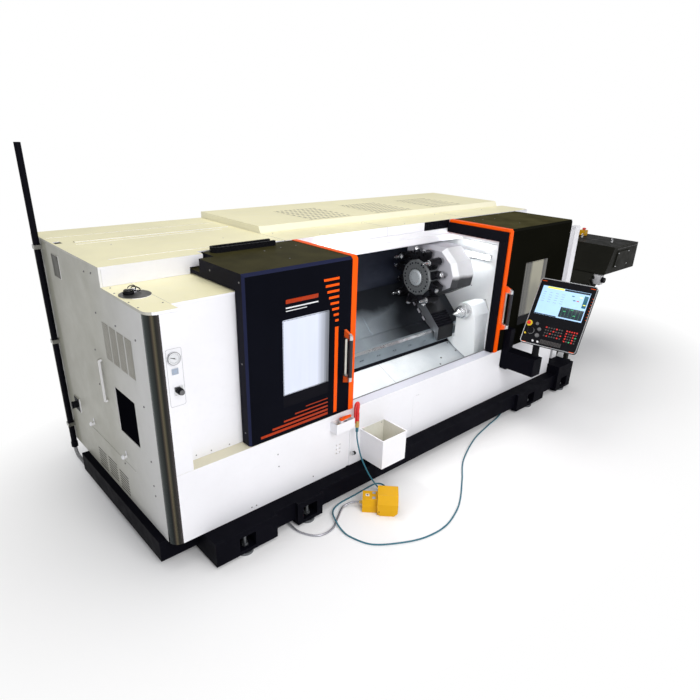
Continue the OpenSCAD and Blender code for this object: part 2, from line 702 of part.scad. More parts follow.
// Coloured leading edge of the right door with the black seal in front of it
module right_door_trim() {
  color([1, 0.35, 0.06]) place() {
    along_x(right_lead_x, right_lead_x + trim_w - 0.2) door_profile(trim_lift);
    along_x(right_lead_x - seal_w, right_lead_x) polygon([[10, sill_z + 5], [door_t - 5, sill_z + 5],
      [door_t - 5, hood_z + 4], [hood_y - 5, hood_z + 4], [hood_y - 5, roof_z - 20], [10, roof_z - 20]]);
  }
}
module right_door_handle() {
  color([0.08, 0.08, 0.09]) place() door_handle(right_lead_x + 55, 930, 1245);
}
// Saddle on the slope with its own way cover sheet
module saddle() {
  color([0.3, 0.31, 0.33]) place() {
    along_x(saddle_x, saddle_x + 220) polygon([[470, 705], [517, 705], [517, 787], [536, 787],
      [640, 640 + slope_c + 11], [930, 930 + slope_c + 11], [930, 930 + slope_c + 156],
        [470, 470 + slope_c + 156]]);
    cover_sheet(cover_x2, saddle_x + 170, 9);
    for (i = [0:3]) along_x(saddle_x - 16 - i * 6, saddle_x) polygon([[640 + i * 60, 862 + i * 60],
      [670 + i * 60, 892 + i * 60], [655 + i * 60, 907 + i * 60], [625 + i * 60, 877 + i * 60]]);
  }
}
// Outline of the turret housing across its axis
module house_outline() {
  polygon([[520, 1130], [690, 690 + slope_c + 156.6], [925, 925 + slope_c + 156.6], [925, track_z - 13],
    [470, track_z - 13], [345, 1470], [300, 1350], [320, 1240]]);
}
// Turret housing that slides down the slope on the saddle, its front edge tapered
module turret_housing() {
  edge = 40;
  color([0.75, 0.76, 0.77]) place() difference() {
    union() {
      along_x(house_x0 + edge, house_x1) house_outline();
      translate([house_x0 + edge, turret_y, turret_z]) mirror([1, 0, 0]) rotate([90, 0, 90])
        linear_extrude(edge, scale = 0.88) translate([-turret_y, -turret_z]) house_outline();
    }
    rod_x(house_x0 - 1, house_x0 + 70, turret_y, turret_z, 90 + fit);
    for (i = [0:4]) along_x(house_x0 + 130, house_x1 + 1) polygon([[560 + i * 22, 1100 - i * 10],
      [566 + i * 22, 1097 - i * 10], [582 + i * 22, 1125 - i * 10], [576 + i * 22, 1128 - i * 10]]);
  }
}
// Twelve-sided turret disc with its ring of drillings and its shaft
module turret_disc() {
  rim = flat_r / cos(15);
  color([0.36, 0.37, 0.39]) place() difference() {
    union() {
      on_turret(0) rotate([0, 90, 0]) rotate([0, 0, 15]) {
        cylinder(h = 10, r1 = rim - 10, r2 = rim, $fn = 12);
        translate([0, 0, 10]) cylinder(h = disc_t - 10, r = rim, $fn = 12);
      }
      on_turret(0) rotate([0, 90, 0]) rotate_extrude() polygon([[0, -12], [34, -12], [34, -14],
        [60, -14], [72, -8], [72, 1], [0, 1]]);
      rod_x(turret_x + disc_t, turret_x + disc_t + 70, turret_y, turret_z, 90);
    }
    for (i = [0:11], k = [-9, 9]) on_turret(i) rotate([k, 0, 0]) translate([-1, 0, 132]) rotate([0, 90, 0])
      cylinder(h = 14, d = 18);
    for (i = [0:7]) on_turret(i * 1.5) translate([-16, 0, 50]) rotate([0, 90, 0]) cylinder(h = 8, d = 8);
    on_turret(0) translate([-1, 0, 0]) rotate([0, 90, 0]) rotate_extrude() translate([96, 0]) square([4, 4]);
  }
}
// Foot of a holder: plate with sloping flanks and four screws; Z runs out from the flat
module holder_foot() {
  along_x(18, 98) polygon([[-36, 0.1], [36, 0.1], [36, 22], [26, block_h], [-26, block_h], [-36, 22]]);
  for (x = [30, 86], y = [-29, 29]) translate([x, y, 16]) cylinder(h = 18, r = 5);
}
// Square shank pointing outwards beside its wedge, with a cutting tip
module turning_tool() {
  along_x(8, 90) polygon([[-34, block_h - 6], [30, block_h - 6], [30, 84], [22, 92], [-26, 92], [-34, 84]]);
  block([-12, -13, 50], [14, 13, 106]);
  along_y(-13, -7) polygon([[-14, 92], [2, 104], [-8, 112], [-18, 106]]);
  for (y = [-22, 20]) translate([28, y, 88]) cylinder(h = 8, r = 6);
  rod_x(0, 9, -24, 66, 5);
}
// Bar along the axis in a clamped sleeve with a collar and three set screws
module boring_bar() {
  translate([-48, 0, 76]) rotate([0, 90, 0]) rotate_extrude() polygon([[0, 0], [20, 0], [24, 4],
    [24, 14], [34, 14], [34, 148], [0, 148]]);
  block([22, -30, 40], [94, 30, 70]);
  rod_x(-118, -46, 0, 76, 13);
  along_y(-14, -9) polygon([[-118, 76], [-106, 88], [-100, 92], [-110, 94], [-118, 90]]);
  for (x = [2, 36, 70]) translate([x, 0, 100]) cylinder(h = 11.5, r = 6);
}
// Driven drill pointing outwards: gear body, collet nut and drill
module driven_drill() {
  block([22, -28, block_h - 2], [94, 28, block_h + 16]);
  translate([56, 0, block_h]) rotate_extrude() polygon([[0, 0], [33, 0], [33, 22], [29, 26], [29, 32],
    [22, 40], [22, 50], [16, 54], [6, 54], [6, 63], [0, 66]]);
  rod_x(-10, 24, 0, 60, 11);
}
// Holders on the flats of the turret, with turning tools, bars and drills by turns
module tool_holders() {
  color([0.16, 0.16, 0.17]) place() for (i = [0:11]) on_turret(i) translate([0, 0, flat_r]) {
    holder_foot();
    if (i % 3 == 0) turning_tool();
    if (i % 3 == 1) boring_bar();
    if (i % 3 == 2) driven_drill();
  }
}
// Spindle, chuck body and the slots of its three jaws
module chuck() {
  r = chuck_d / 2;
  face = chuck_x - bed_x0 + 592;
  color([0.62, 0.63, 0.64]) place() difference() {
    translate([bed_x0 - 592, axis_y, axis_z]) rotate([0, 90, 0]) rotate_extrude($fn = 96) polygon([[33,
      0], [70, 0], [70, 595], [110, 595], [110, face], [r - 5, face], [r, face + 5], [r, face + 58],
      [r - 4, face + 62], [r - 4, face + 68], [r, face + 72], [r, face + 112], [r - 10, face + 122],
      [58, face + 122], [54, face + 118], [33, face + 118]]);
    for (i = [0:2]) translate([chuck_x + 96, axis_y, axis_z]) rotate([i * 120, 0, 0]) {
      block([0, -20 - gap, 40], [30, 20 + gap, r + 5]);
      rotate([60, 0, 0]) translate([16, 0, 94]) rotate([0, 90, 0]) cylinder(h = 20, r = 9);
    }
  }
}
module chuck_jaw(i) {
  color([0.35, 0.35, 0.37]) place() translate([chuck_x + 96, axis_y, axis_z]) rotate([i * 120, 0,
    0]) difference() {
    along_y(-20, 20) polygon([[gap, 52], [78, 52], [78, 52 + jaw_step], [64, 52 + jaw_step],
      [64, 52 + 2 * jaw_step], [48, 52 + 2 * jaw_step], [48, chuck_d / 2 - 11], [gap, chuck_d / 2 - 11]]);
    translate([30, 0, 100]) rotate([0, 90, 0]) cylinder(h = 20, r = 8);
    translate([40, 0, 74]) rotate([0, 90, 0]) cylinder(h = 40, r = 5);
  }
}
module chuck_jaw_1() { chuck_jaw(0); }
module chuck_jaw_2() { chuck_jaw(1); }
module chuck_jaw_3() { chuck_jaw(2); }
// Tailstock: white cover, bright sleeve and guide shoe
module tailstock() {
  color([0.94, 0.94, 0.93]) place() difference() {
    union() {
      along_x(tail_x, bed_x1 - 15) polygon([[192, 490], [250, 955], [300, 1045], [340, 1065],
        [425, 1045], [452, 1000], [452, 696], [rail_y - 0.4, 696], [rail_y - 0.4, 656], [452, 606]]);
      translate([tail_x - 72, axis_y, axis_z]) rotate([0, 90, 0]) rotate_extrude() polygon([[0, 0],
        [58, 0], [62, 4], [62, 46], [57, 50], [57, 56], [65, 58], [65, 73], [0, 73]]);
    }
    rod_x(tail_x - 80, tail_x - 12, axis_y, axis_z, 26 + fit);
  }
}
// Live centre turning in the tailstock sleeve
module live_centre() {
  body = tail_x - 72 - gap - centre_x;
  color([0.8, 0.8, 0.82]) place() translate([centre_x, axis_y, axis_z]) rotate([0, 90, 0]) rotate_extrude()
    polygon([[0, 0], [1.5, 0], [24, 42], [26, 46], [26, 58], [34, 62], [34, 82], [44, 84], [48, 88],
      [48, body - 30], [44, body - 26], [44, body - 18], [48, body - 14], [48, body], [26, body],
      [26, tail_x - 17 - centre_x], [0, tail_x - 17 - centre_x]]);
}
// Panel housing with its keys, dials and neck on the arm post
module panel_housing() {
  color([0.06, 0.06, 0.07]) place() {
    difference() {
      union() {
        on_panel(0, 0) translate([0, 0, -30]) linear_extrude(30) round_rect(panel_w, panel_h, 28);
        on_panel(0, 0) translate([22, 26, -panel_t]) linear_extrude(panel_t - 29)
          round_rect(panel_w - 44, panel_h - 60, 20);
        translate([arm_post[0], arm_post[1], arm_top + 22.5]) cylinder(h = 125, r = 30);
      }
      on_panel(0.08, 0.455) translate([0, 0, -6]) cube([0.837 * panel_w, 0.438 * panel_h, 10]);
      on_panel(0.066, 0.298) translate([0, 0, -30]) cylinder(h = 40, r = 10 + fit);
      on_panel(0.135, 0.192) translate([0, 0, -30]) cylinder(h = 40, r = 8 + fit);
      for (i = [0:9]) on_panel(0.3, 0.6 + i * 0.025) translate([0, 0, -panel_t - 1]) cube([0.4 * panel_w,
        7, 6]);
    }
    for (p = [[0.21, 0.308, 14], [0.275, 0.233, 16], [0.271, 0.14, 18], [0.051, 0.141, 8],
      [0.228, 0.052, 9], [0.318, 0.051, 9]])
      on_panel(p[0], p[1]) cylinder(h = 14, r1 = p[2], r2 = p[2] - 2);
    for (r = [0:4], c = [0:4]) on_panel(0.73 + c * 0.042, 0.13 + r * 0.038) cube([15, 14, 4]);
    for (r = [0:3], c = [0:6]) on_panel(0.37 + c * 0.046, 0.15 + r * 0.042) cube([15, 14, 4]);
    on_panel(0.35, 0.03) cube([0.38 * panel_w, 0.075 * panel_h, 5]);
  }
}
module panel_screen() {
  color([0.6, 0.78, 0.95]) place() on_panel(0.08, 0.455) translate([gap, gap, -5.5])
    cube([0.837 * panel_w - 2 * gap, 0.438 * panel_h - 2 * gap, 4]);
}
module panel_stop_button() {
  color([0.8, 0.05, 0.05]) place() on_panel(0.066, 0.298) translate([0, 0, -18]) rotate_extrude()
    polygon([[0, 0], [10, 0], [10, 30], [15, 30], [17, 33], [17, 39], [13, 43], [0, 44]]);
}
// Hand pulse wheel of the panel
module panel_handwheel() {
  color([0.1, 0.1, 0.1]) place() on_panel(0.135, 0.192) {
    translate([0, 0, -26]) rotate_extrude() polygon([[0, 0], [8, 0], [8, 28], [26, 28], [28, 30],
      [28, 43], [25, 46], [22, 44], [0, 44]]);
    translate([0, 18, 17]) cylinder(h = 15, r = 5);
  }
}
// Rotary main switch on the left side
module main_switch_handle() {
  color([0.75, 0.1, 0.08]) place() translate([0, 1459, 584]) {
    rotate([0, -90, 0]) rotate_extrude() polygon([[0, 1], [10, 1], [10, 10], [26, 10], [26, 30],
      [22, 36], [0, 36]]);
    translate([-48, 0, 0]) rotate([90, 0, 90]) linear_extrude(14) {
      translate([-7, -22]) square([14, 44]);
      for (z = [-22, 22]) translate([0, z]) circle(7);
    }
  }
}

base_frame();
leveling_feet();
slant_bed();
headstock();
left_side_panel();
corner_post();
left_front_cover();
left_step_plate();
front_panel();
rear_cabinet();
roof_covers();
roof_hood();
door_track();
right_front_cover();
right_end_panel();
chamber_walls();
chip_pan();
work_light();
way_cover_fixed();
pressure_gauge();
supply_conduit();
parts_bin();
tool_tray();
conveyor_riser();
conveyor_hood();
lifting_eyes();
panel_arm();
footswitch_housing();
footswitch_cable();
air_hose();
blow_gun();
left_door_shell();
left_door_window();
left_door_trim();
left_door_handle();
cable_chain();
right_door_shell();
right_door_window();
right_door_trim();
right_door_handle();
way_cover_middle();
saddle();
turret_housing();
turret_disc();
tool_holders();
chuck();
chuck_jaw_1();
chuck_jaw_2();
chuck_jaw_3();
tailstock();
live_centre();
panel_housing();
panel_screen();
panel_stop_button();
panel_handwheel();
foot_pedal();
main_switch_handle();
regulator_knob();
valve_lever();
conveyor_stop_button();
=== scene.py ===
"""Looks of a slant-bed turning centre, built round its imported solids."""

import math

import bmesh
import bpy
from mathutils import Matrix, Vector


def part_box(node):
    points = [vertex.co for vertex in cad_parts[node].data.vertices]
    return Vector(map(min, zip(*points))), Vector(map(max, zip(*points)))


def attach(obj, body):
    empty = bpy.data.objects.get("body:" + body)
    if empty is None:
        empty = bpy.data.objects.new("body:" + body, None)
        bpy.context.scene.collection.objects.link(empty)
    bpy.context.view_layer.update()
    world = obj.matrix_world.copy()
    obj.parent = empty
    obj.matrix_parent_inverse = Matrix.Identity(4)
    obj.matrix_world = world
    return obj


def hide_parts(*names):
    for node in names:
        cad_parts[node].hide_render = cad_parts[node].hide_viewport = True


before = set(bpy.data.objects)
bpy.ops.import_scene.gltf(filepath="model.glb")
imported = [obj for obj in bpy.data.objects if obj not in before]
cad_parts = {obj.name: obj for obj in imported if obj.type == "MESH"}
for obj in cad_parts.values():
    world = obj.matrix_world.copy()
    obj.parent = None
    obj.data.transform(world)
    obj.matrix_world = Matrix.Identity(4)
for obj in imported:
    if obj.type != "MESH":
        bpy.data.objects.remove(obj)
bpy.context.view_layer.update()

MM = 0.001
IMAGE_SIZE = 700

# The machine's own datum: front left corner of the panels, at floor level
corner = Vector((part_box("rear_cabinet")[0].x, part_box("front_panel")[0].y, 0.0))
machine = Matrix.Translation(corner) @ Matrix.Scale(MM, 4)

# Directions in the shared frame
to_left, to_right = (-1, 0, 0), (1, 0, 0)
to_front, to_back = (0, -1, 0), (0, 1, 0)
upward = (0, 0, 1)

# Heights of the machine's level faces, in millimetres
step_top = 1660
roof_top = 1775
door_top = 1776
hood_top = 1825


def spot(x, y, z):
    """A point given in millimetres from the datum, in metres in the shared frame."""
    return machine @ Vector((x, y, z))


def put(name, data):
    """A new object in the scene."""
    made = bpy.data.objects.new(name, data)
    bpy.context.scene.collection.objects.link(made)
    return made


# Camera
camera_place = spot(-1067.97, -2650.04, 2556.92)
camera_azimuth = math.radians(-42.847)
camera_elevation = math.radians(23.831)
camera_roll = math.radians(1.883)
camera_focal_px = 566.68
camera_axis_px = 372.97


def make_camera():
    """The camera of the picture, from its place, angles and focal length."""
    flat = math.cos(camera_elevation)
    back = Vector((math.sin(camera_azimuth) * flat, -math.cos(camera_azimuth) * flat,
                   math.sin(camera_elevation)))
    level = (-back).cross(Vector(upward)).normalized()
    upright = level.cross(-back)
    right = level * math.cos(camera_roll) + upright * math.sin(camera_roll)
    up = upright * math.cos(camera_roll) - level * math.sin(camera_roll)
    data = bpy.data.cameras.new("camera")
    data.sensor_width = 36
    data.lens = data.sensor_width * camera_focal_px / IMAGE_SIZE
    data.shift_y = (camera_axis_px - IMAGE_SIZE / 2) / IMAGE_SIZE
    data.clip_end = 100
    camera = put("camera", data)
    turned = Matrix((right, up, back)).transposed().to_4x4()
    camera.matrix_world = Matrix.Translation(camera_place) @ turned
    bpy.context.scene.camera = camera


class Nodes:
    """A node tree, with short ways to add and link its nodes."""

    tree = None

    def add(self, kind, **values):
        """A node of that kind, with its properties or input sockets set or linked by name."""
        node = self.tree.nodes.new(kind)
        for name, value in values.items():
            if hasattr(node, name):
                setattr(node, name, value)
                continue
            socket = node.inputs[int(name[1:])] if name[1:].isdigit() else node.inputs[name.replace("_", " ")]
            self.feed(socket, value)
        return node

    def feed(self, socket, value):
        if isinstance(value, bpy.types.NodeSocket):
            self.tree.links.new(value, socket)
        else:
            socket.default_value = value

    def math(self, operation, first, second=0.0):
        return self.add("ShaderNodeMath", operation=operation, i0=first, i1=second).outputs[0]

    def times(self, first, second):
        return self.math("MULTIPLY", first, second)

    def above(self, value, limit):
        """1 where the value is over the limit, else 0."""
        return self.math("GREATER_THAN", value, limit)

    def below(self, value, limit):
        """1 where the value is under the limit, else 0."""
        return self.math("LESS_THAN", value, limit)


# Materials
class Finish(Nodes):
    """One procedural material: a Principled shader with small helpers for its nodes."""

    def __init__(self, name, colour, roughness, metallic=0.0, **sockets):
        self.material = bpy.data.materials.new(name)
        self.material.use_nodes = True
        self.tree = self.material.node_tree
        self.shader = self.tree.nodes["Principled BSDF"]
        self.shader.inputs["Base Color"].default_value = (*colour, 1)
        self.shader.inputs["Roughness"].default_value = roughness
        self.shader.inputs["Metallic"].default_value = metallic
        for socket, value in sockets.items():
            self.shader.inputs[socket.replace("_", " ")].default_value = value
        self.place = self.add("ShaderNodeTexCoord").outputs["Object"]

    def noise(self, scale, detail=3.0, stretch=(1, 1, 1)):
        """Noise of that many cells a metre, drawn out along the axes by stretch."""
        mapped = self.add("ShaderNodeMapping", Vector=self.place, Scale=stretch)
        made = self.add("ShaderNodeTexNoise", Vector=mapped.outputs[0], Scale=scale, Detail=detail)
        return made.outputs["Fac"]

    def axis(self, name):
        """Place along X, Y or Z."""
        return self.add("ShaderNodeSeparateXYZ", Vector=self.place).outputs[name]

    def facing(self, name):
        """How far the surface faces along X, Y or Z, from -1 to 1."""
        normal = self.add("ShaderNodeNewGeometry").outputs["True Normal"]
        return self.add("ShaderNodeSeparateXYZ", Vector=normal).outputs[name]

    def tint(self):
        """The colour painted so far."""
        return self.shader.inputs["Base Color"].links[0].from_socket

    def between(self, value, low, high):
        """1 between low and high, else 0."""
        return self.times(self.above(value, low), self.below(value, high))

    def band(self, value, low, high, out_low=0.0, out_high=1.0):
        """Value moved from the range low..high to out_low..out_high, and held there."""
        return self.add("ShaderNodeMapRange", Value=value, From_Min=low, From_Max=high, To_Min=out_low,
                        To_Max=out_high).outputs[0]

    def mix(self, factor, first, second):
        """Colour mixed from first to second."""
        node = self.add("ShaderNodeMix", data_type="RGBA")
        for socket, value in zip((node.inputs[0], node.inputs[6], node.inputs[7]), (factor, first, second)):
            if isinstance(value, tuple) and len(value) == 3:
                value = (*value, 1)
            self.feed(socket, value)
        return node.outputs[2]

    def edge(self, radius=0.004):
        """1 on sharp outer edges, fading to 0 on flats."""
        bevel = self.add("ShaderNodeBevel", samples=4, Radius=radius)
        true = self.add("ShaderNodeNewGeometry").outputs["Normal"]
        along = self.add("ShaderNodeVectorMath", operation="DOT_PRODUCT", i0=bevel.outputs[0], i1=true)
        return self.band(along.outputs["Value"], 0.995, 0.8)

    def bump(self, height, strength, distance=0.001):
        node = self.add("ShaderNodeBump", Height=height, Strength=strength, Distance=distance)
        self.feed(self.shader.inputs["Normal"], node.outputs[0])

    def paint(self, colour, roughness=None):
        self.feed(self.shader.inputs["Base Color"], colour)
        if roughness is not None:
            self.feed(self.shader.inputs["Roughness"], roughness)
        return self


def shade(colour, factor):
    """The colour made darker or paler."""
    return tuple(min(1.0, c * factor) for c in colour)


def sheet_paint(name, colour, roughness=0.38, mottle=0.05, worn=None, peel=0.06, base=None, dull=0.5):
    """Sprayed sheet metal: faint mottling, orange peel and lightly rubbed edges."""
    f = Finish(name, colour, roughness, Specular_IOR_Level=dull)
    cloud = f.noise(2.3, 4)
    tint = f.mix(f.band(cloud, 0.35, 0.68), base if base else colour, shade(colour, 1 - mottle))
    smudge = f.band(f.noise(34, 5), 0.52, 0.8, 0, 0.35)
    tint = f.mix(smudge, tint, shade(colour, 1 - 1.6 * mottle))
    rub = f.times(f.edge(), f.band(f.noise(60), 0.35, 0.7))
    tint = f.mix(rub, tint, worn if worn else shade(colour, 0.86))
    f.paint(tint, f.band(f.noise(11, 4), 0.3, 0.75, roughness - 0.07, roughness + 0.12))
    f.bump(f.noise(900, 2), peel)
    return f


def brushed_metal(name, colour, roughness=0.3, stretch=(1, 40, 40), scale=60, streak=0.14, stain=None,
                  metal=1.0):
    """Bright metal with fine lines along one axis, streaked and lightly stained."""
    f = Finish(name, colour, roughness, metal)
    lines = f.noise(scale, 6, stretch)
    tint = f.mix(f.band(lines, 0.3, 0.72), shade(colour, 1 - streak), shade(colour, 1 + streak))
    patch = f.band(f.noise(3.1, 5), 0.42, 0.7)
    tint = f.mix(f.times(patch, 0.55), tint, stain if stain else shade(colour, 0.72))
    tint = f.mix(f.times(f.edge(0.002), 0.7), tint, shade(colour, 1.25))
    uneven = f.band(patch, 0, 1, roughness, roughness + 0.14)
    f.paint(tint, f.math("ADD", f.band(lines, 0.3, 0.7, -0.06, 0.08), uneven))
    f.bump(lines, 0.12, 0.0006)
    return f


def moulded(name, colour, roughness=0.5, grain=0.12, rubbed=0.25, **sockets):
    """Moulded plastic or rubber: fine grain, uneven sheen, edges a little paler."""
    f = Finish(name, colour, roughness, **sockets)
    cloud = f.band(f.noise(9, 4), 0.35, 0.7)
    tint = f.mix(cloud, colour, shade(colour, 0.82))
    pale = tuple(c + (0.6 - c) * rubbed for c in colour)
    tint = f.mix(f.times(f.edge(0.0015), f.band(f.noise(140), 0.4, 0.75)), tint, pale)
    f.paint(tint, f.band(f.noise(45, 3), 0.3, 0.7, roughness - 0.08, roughness + 0.1))
    f.bump(f.noise(1500, 2), grain, 0.0005)
    return f


def lit(name, colour, strength):
    """Glowing surface with a slight unevenness."""
    f = Finish(name, shade(colour, 0.6), 0.25)
    glow = f.mix(f.band(f.noise(14, 2), 0.3, 0.7), colour, shade(colour, 0.9))
    f.feed(f.shader.inputs["Emission Color"], glow)
    f.shader.inputs["Emission Strength"].default_value = strength
    return f


def chamber_paint():
    """Walls of the work chamber: white ends, and a nearly black, mottled back from the back wall's face on.
    """
    f = sheet_paint("chamber_paint", (0.86, 0.87, 0.86), 0.42, dull=0.2)
    back_y = corner.y + 959.8 * MM
    # Back wall painted nearly black, mottled
    behind = f.above(f.axis("Y"), back_y)
    dark_back_wall = f.mix(f.band(f.noise(2.2, 5, (1, 1, 2.5)), 0.35, 0.7), (0.005, 0.006, 0.012), (0.02, 0.024, 0.036))
    return f.paint(f.mix(behind, f.tint(), dark_back_wall))


def corner_steel():
    """Dark polished steel of the corner post, with a painted warm reflection and highlights in bands up its
    length.
    """
    f = Finish("corner_steel", (0.1, 0.1, 0.1), 0.22, 1.0)
    post_width = 65 * MM
    # Painted reflection: colour bands across the post's width, a warm highlight in the middle and paler edges
    column = f.band(f.axis("X"), corner.x, corner.x + post_width)
    reflection_ramp = f.add("ShaderNodeValToRGB", Fac=column)
    reflection_stops = [(0.0, (0.12, 0.13, 0.13)), (0.03, (0.04, 0.05, 0.05)), (0.28, (0.02, 0.022, 0.022)),
             (0.36, (0.06, 0.05, 0.04)), (0.44, (0.125, 0.105, 0.07)), (0.5, (0.1, 0.09, 0.06)),
             (0.62, (0.025, 0.026, 0.024)), (0.8, (0.036, 0.034, 0.033)), (1.0, (0.09, 0.08, 0.085))]
    points = reflection_ramp.color_ramp.elements
    while len(points) < len(reflection_stops):
        points.new(0.5)
    for point, (at, colour) in zip(points, reflection_stops):
        point.position = at
        point.color = (*colour, 1)
    # A faint warm haze of the same painted reflection, drawn out up the post
    haze = f.band(f.noise(2.5, 4, (8, 8, 1)), 0.35, 0.7)
    f.paint(f.mix(f.times(haze, 0.15), reflection_ramp.outputs[0], (0.09, 0.08, 0.065)),
            f.band(f.noise(30, 5, (6, 6, 1)), 0.3, 0.7, 0.16, 0.34))
    f.bump(f.noise(70, 4, (20, 20, 1)), 0.05, 0.0005)
    return f


SHEET_WHITE = (0.86, 0.86, 0.89)
# Painted warm light: the cream of the level tops stands in for warm light from above
WARM_TOP_LIGHT = (0.93, 0.88, 0.58)
LEVEL_FACE = 0.85  # faces that look up more than this count as level


def light_on_level_faces(name, upright, level):
    """Sheet metal in one tint on its upright faces; its level faces get a second tint, painted warm light on
    the roof and hood and painted shade on the front panel's ledge.
    """
    f = sheet_paint(name, upright, 0.4)
    mottled_level = f.mix(f.band(f.noise(2.1, 4), 0.35, 0.68), level, shade(level, 0.93))
    return f.paint(f.mix(f.above(f.facing("Z"), LEVEL_FACE), f.tint(), mottled_level))


def shade_left_faces(f, tint):
    """The same paint, with the faces that look to the left in a painted shade."""
    left = f.below(f.facing("X"), -0.5)
    return f.paint(f.mix(left, f.tint(), tint))


def housing_paint():
    """Turret housing: pale flank, and front faces in painted light above and painted dark shade below."""
    f = brushed_metal("housing_grey", (0.43, 0.43, 0.47), 0.45, (1, 1, 1), 20, 0.06, metal=0.3)
    # Painted light and shade by facing: front faces pale up high, near black lower down
    front = f.below(f.facing("Y"), -0.35)
    ragged_edge = f.times(f.noise(5, 3), 0.08)
    lit_above, shaded_below = 1.40, 1.36
    low = f.band(f.math("ADD", f.axis("Z"), ragged_edge), lit_above, shaded_below)
    return f.paint(f.mix(front, f.tint(), f.mix(low, (0.66, 0.67, 0.69), (0.03, 0.032, 0.036))))


def sill_paint():
    """Front panel, with painted shade on its level ledge: cream beside the doors and grey between them."""
    # The level faces' cream is painted shade on the ledge beside the doors
    f = light_on_level_faces("sill_paint", SHEET_WHITE, (0.7, 0.66, 0.5))
    level = f.above(f.facing("Z"), LEVEL_FACE)
    # Painted shade: the ledge between the doors grey against the white front
    opening = f.between(f.axis("X"), corner.x + 1.34, corner.x + 3.18)
    return f.paint(f.mix(f.times(level, opening), f.tint(), (0.58, 0.59, 0.66)))


def roof_paint():
    """Roof sheets: white fronts, tops cream in painted warm light, and faces to the left greyer in painted
    shade.
    """
    return shade_left_faces(light_on_level_faces("roof_paint", (0.88, 0.88, 0.93), WARM_TOP_LIGHT), (0.5, 0.49, 0.43))


def side_paint():
    """Left side: the white sheet given grey as painted shade, painted lighter towards the corner, and its
    faces that look to the front painted pale as lit.
    """
    # Painted shade: the white side sheet is given a grey colour
    f = sheet_paint("side_paint", (0.425, 0.42, 0.36), 0.42, base=(0.46, 0.455, 0.395))
    front = f.below(f.facing("Y"), -0.5)
    # Painted light: lighter towards the front corner
    lit_to_front = f.band(f.axis("Y"), corner.y + 0.8, corner.y + 0.15)
    tint = f.mix(lit_to_front, f.tint(), (0.63, 0.63, 0.62))
    # Painted light: faces that look to the front are pale
    return f.paint(f.mix(front, tint, (0.85, 0.85, 0.86)))


def window_pane(side, clear, deep, shade_bands):
    """Laminated door window: glossy, its pale colour a painted reflection, painted shade across the shade
    bands, with a black printed foot.
    """
    f = Finish(side + "_pane", clear, 0.06, Coat_Weight=0.4, Coat_Roughness=0.03)
    wipe = f.band(f.noise(3, 4, (9, 1, 0.5)), 0.4, 0.7)
    tint = f.mix(f.band(f.noise(1.7, 3, (2.5, 1, 0.6)), 0.3, 0.72), clear, shade(clear, 0.92))
    tint = f.mix(f.times(wipe, 0.3), tint, shade(clear, 1.06))
    left_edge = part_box(side + "_door_window")[0].x
    # Painted shade: the glass is dimmed across each shade band
    shade_mask = 0.0
    for start, end in shade_bands:
        shade_mask = f.math("MAXIMUM", shade_mask, f.band(f.axis("X"), left_edge + start, left_edge + end))
    streak = f.times(shade_mask, f.band(f.noise(4, 3, (12, 1, 0.2)), 0.3, 0.6, 0.75, 1.0))
    foot_top = 0.955
    foot = f.below(f.axis("Z"), foot_top)
    tint = f.mix(foot, f.mix(streak, tint, deep), (0.005, 0.005, 0.008))
    f.feed(f.shader.inputs["Coat Weight"], f.band(foot, 0, 1, 0.4, 0.0))
    f.feed(f.shader.inputs["Specular IOR Level"], f.band(foot, 0, 1, 0.5, 0.03))
    f.paint(tint, f.band(wipe, 0, 1, 0.05, 0.14))
    return f


def door_paint(name, face, bevel, dull, lit_top):
    """Gloss black doors: a painted blue reflection on the bevels, painted warm light on the olive-black top
    and painted shade on the dull dark ends.
    """
    f = sheet_paint(name, face, 0.2, 0.2, (0.02, 0.02, 0.026), 0.02, dull=dull)
    up = f.facing("Z")
    sideways = f.math("ABSOLUTE", f.facing("X"))
    least, most = 0.5, 0.9
    # Painted blue reflection on the bevelled faces
    slant = f.math("MAXIMUM", f.between(up, least, most), f.between(sideways, least, most))
    tint = f.mix(slant, f.tint(), bevel)
    # Painted shade on the end faces
    tint = f.mix(f.above(sideways, most), tint, (0.012, 0.012, 0.018))
    # Painted warm light on the level top, mottled
    lit_top = f.mix(f.band(f.noise(6, 4), 0.35, 0.7), lit_top, shade(lit_top, 0.65))
    flat_top = f.above(up, most)
    tint = f.mix(flat_top, tint, lit_top)
    return f.paint(tint, f.band(flat_top, 0, 1, 0.2, 0.42))


def handle_paint(side, low_z, high_z):
    """Pull handle: bright bow with orange ends, black grip and two bright caps."""
    f = sheet_paint(side + "_handle_paint", (0.9, 0.13, 0.02), 0.34)
    height = f.axis("Z")
    low_z, high_z = low_z * MM, high_z * MM
    end, end_and_cap, grip_back = 8 * MM, 14 * MM, 45.5 * MM
    inner = f.between(height, low_z + end, high_z - end)
    out = f.below(f.axis("Y"), corner.y - grip_back)
    grip = f.times(out, f.between(height, low_z + end_and_cap, high_z - end_and_cap))
    cap = f.times(out, f.math("SUBTRACT", 1.0, grip))
    tint = f.mix(inner, f.tint(), (0.7, 0.68, 0.62))
    tint = f.mix(cap, tint, (0.72, 0.72, 0.73))
    tint = f.mix(grip, tint, (0.012, 0.012, 0.016))
    bright = f.times(f.math("MAXIMUM", inner, cap), f.math("SUBTRACT", 1.0, grip))
    f.feed(f.shader.inputs["Metallic"], bright)
    return f.paint(tint)


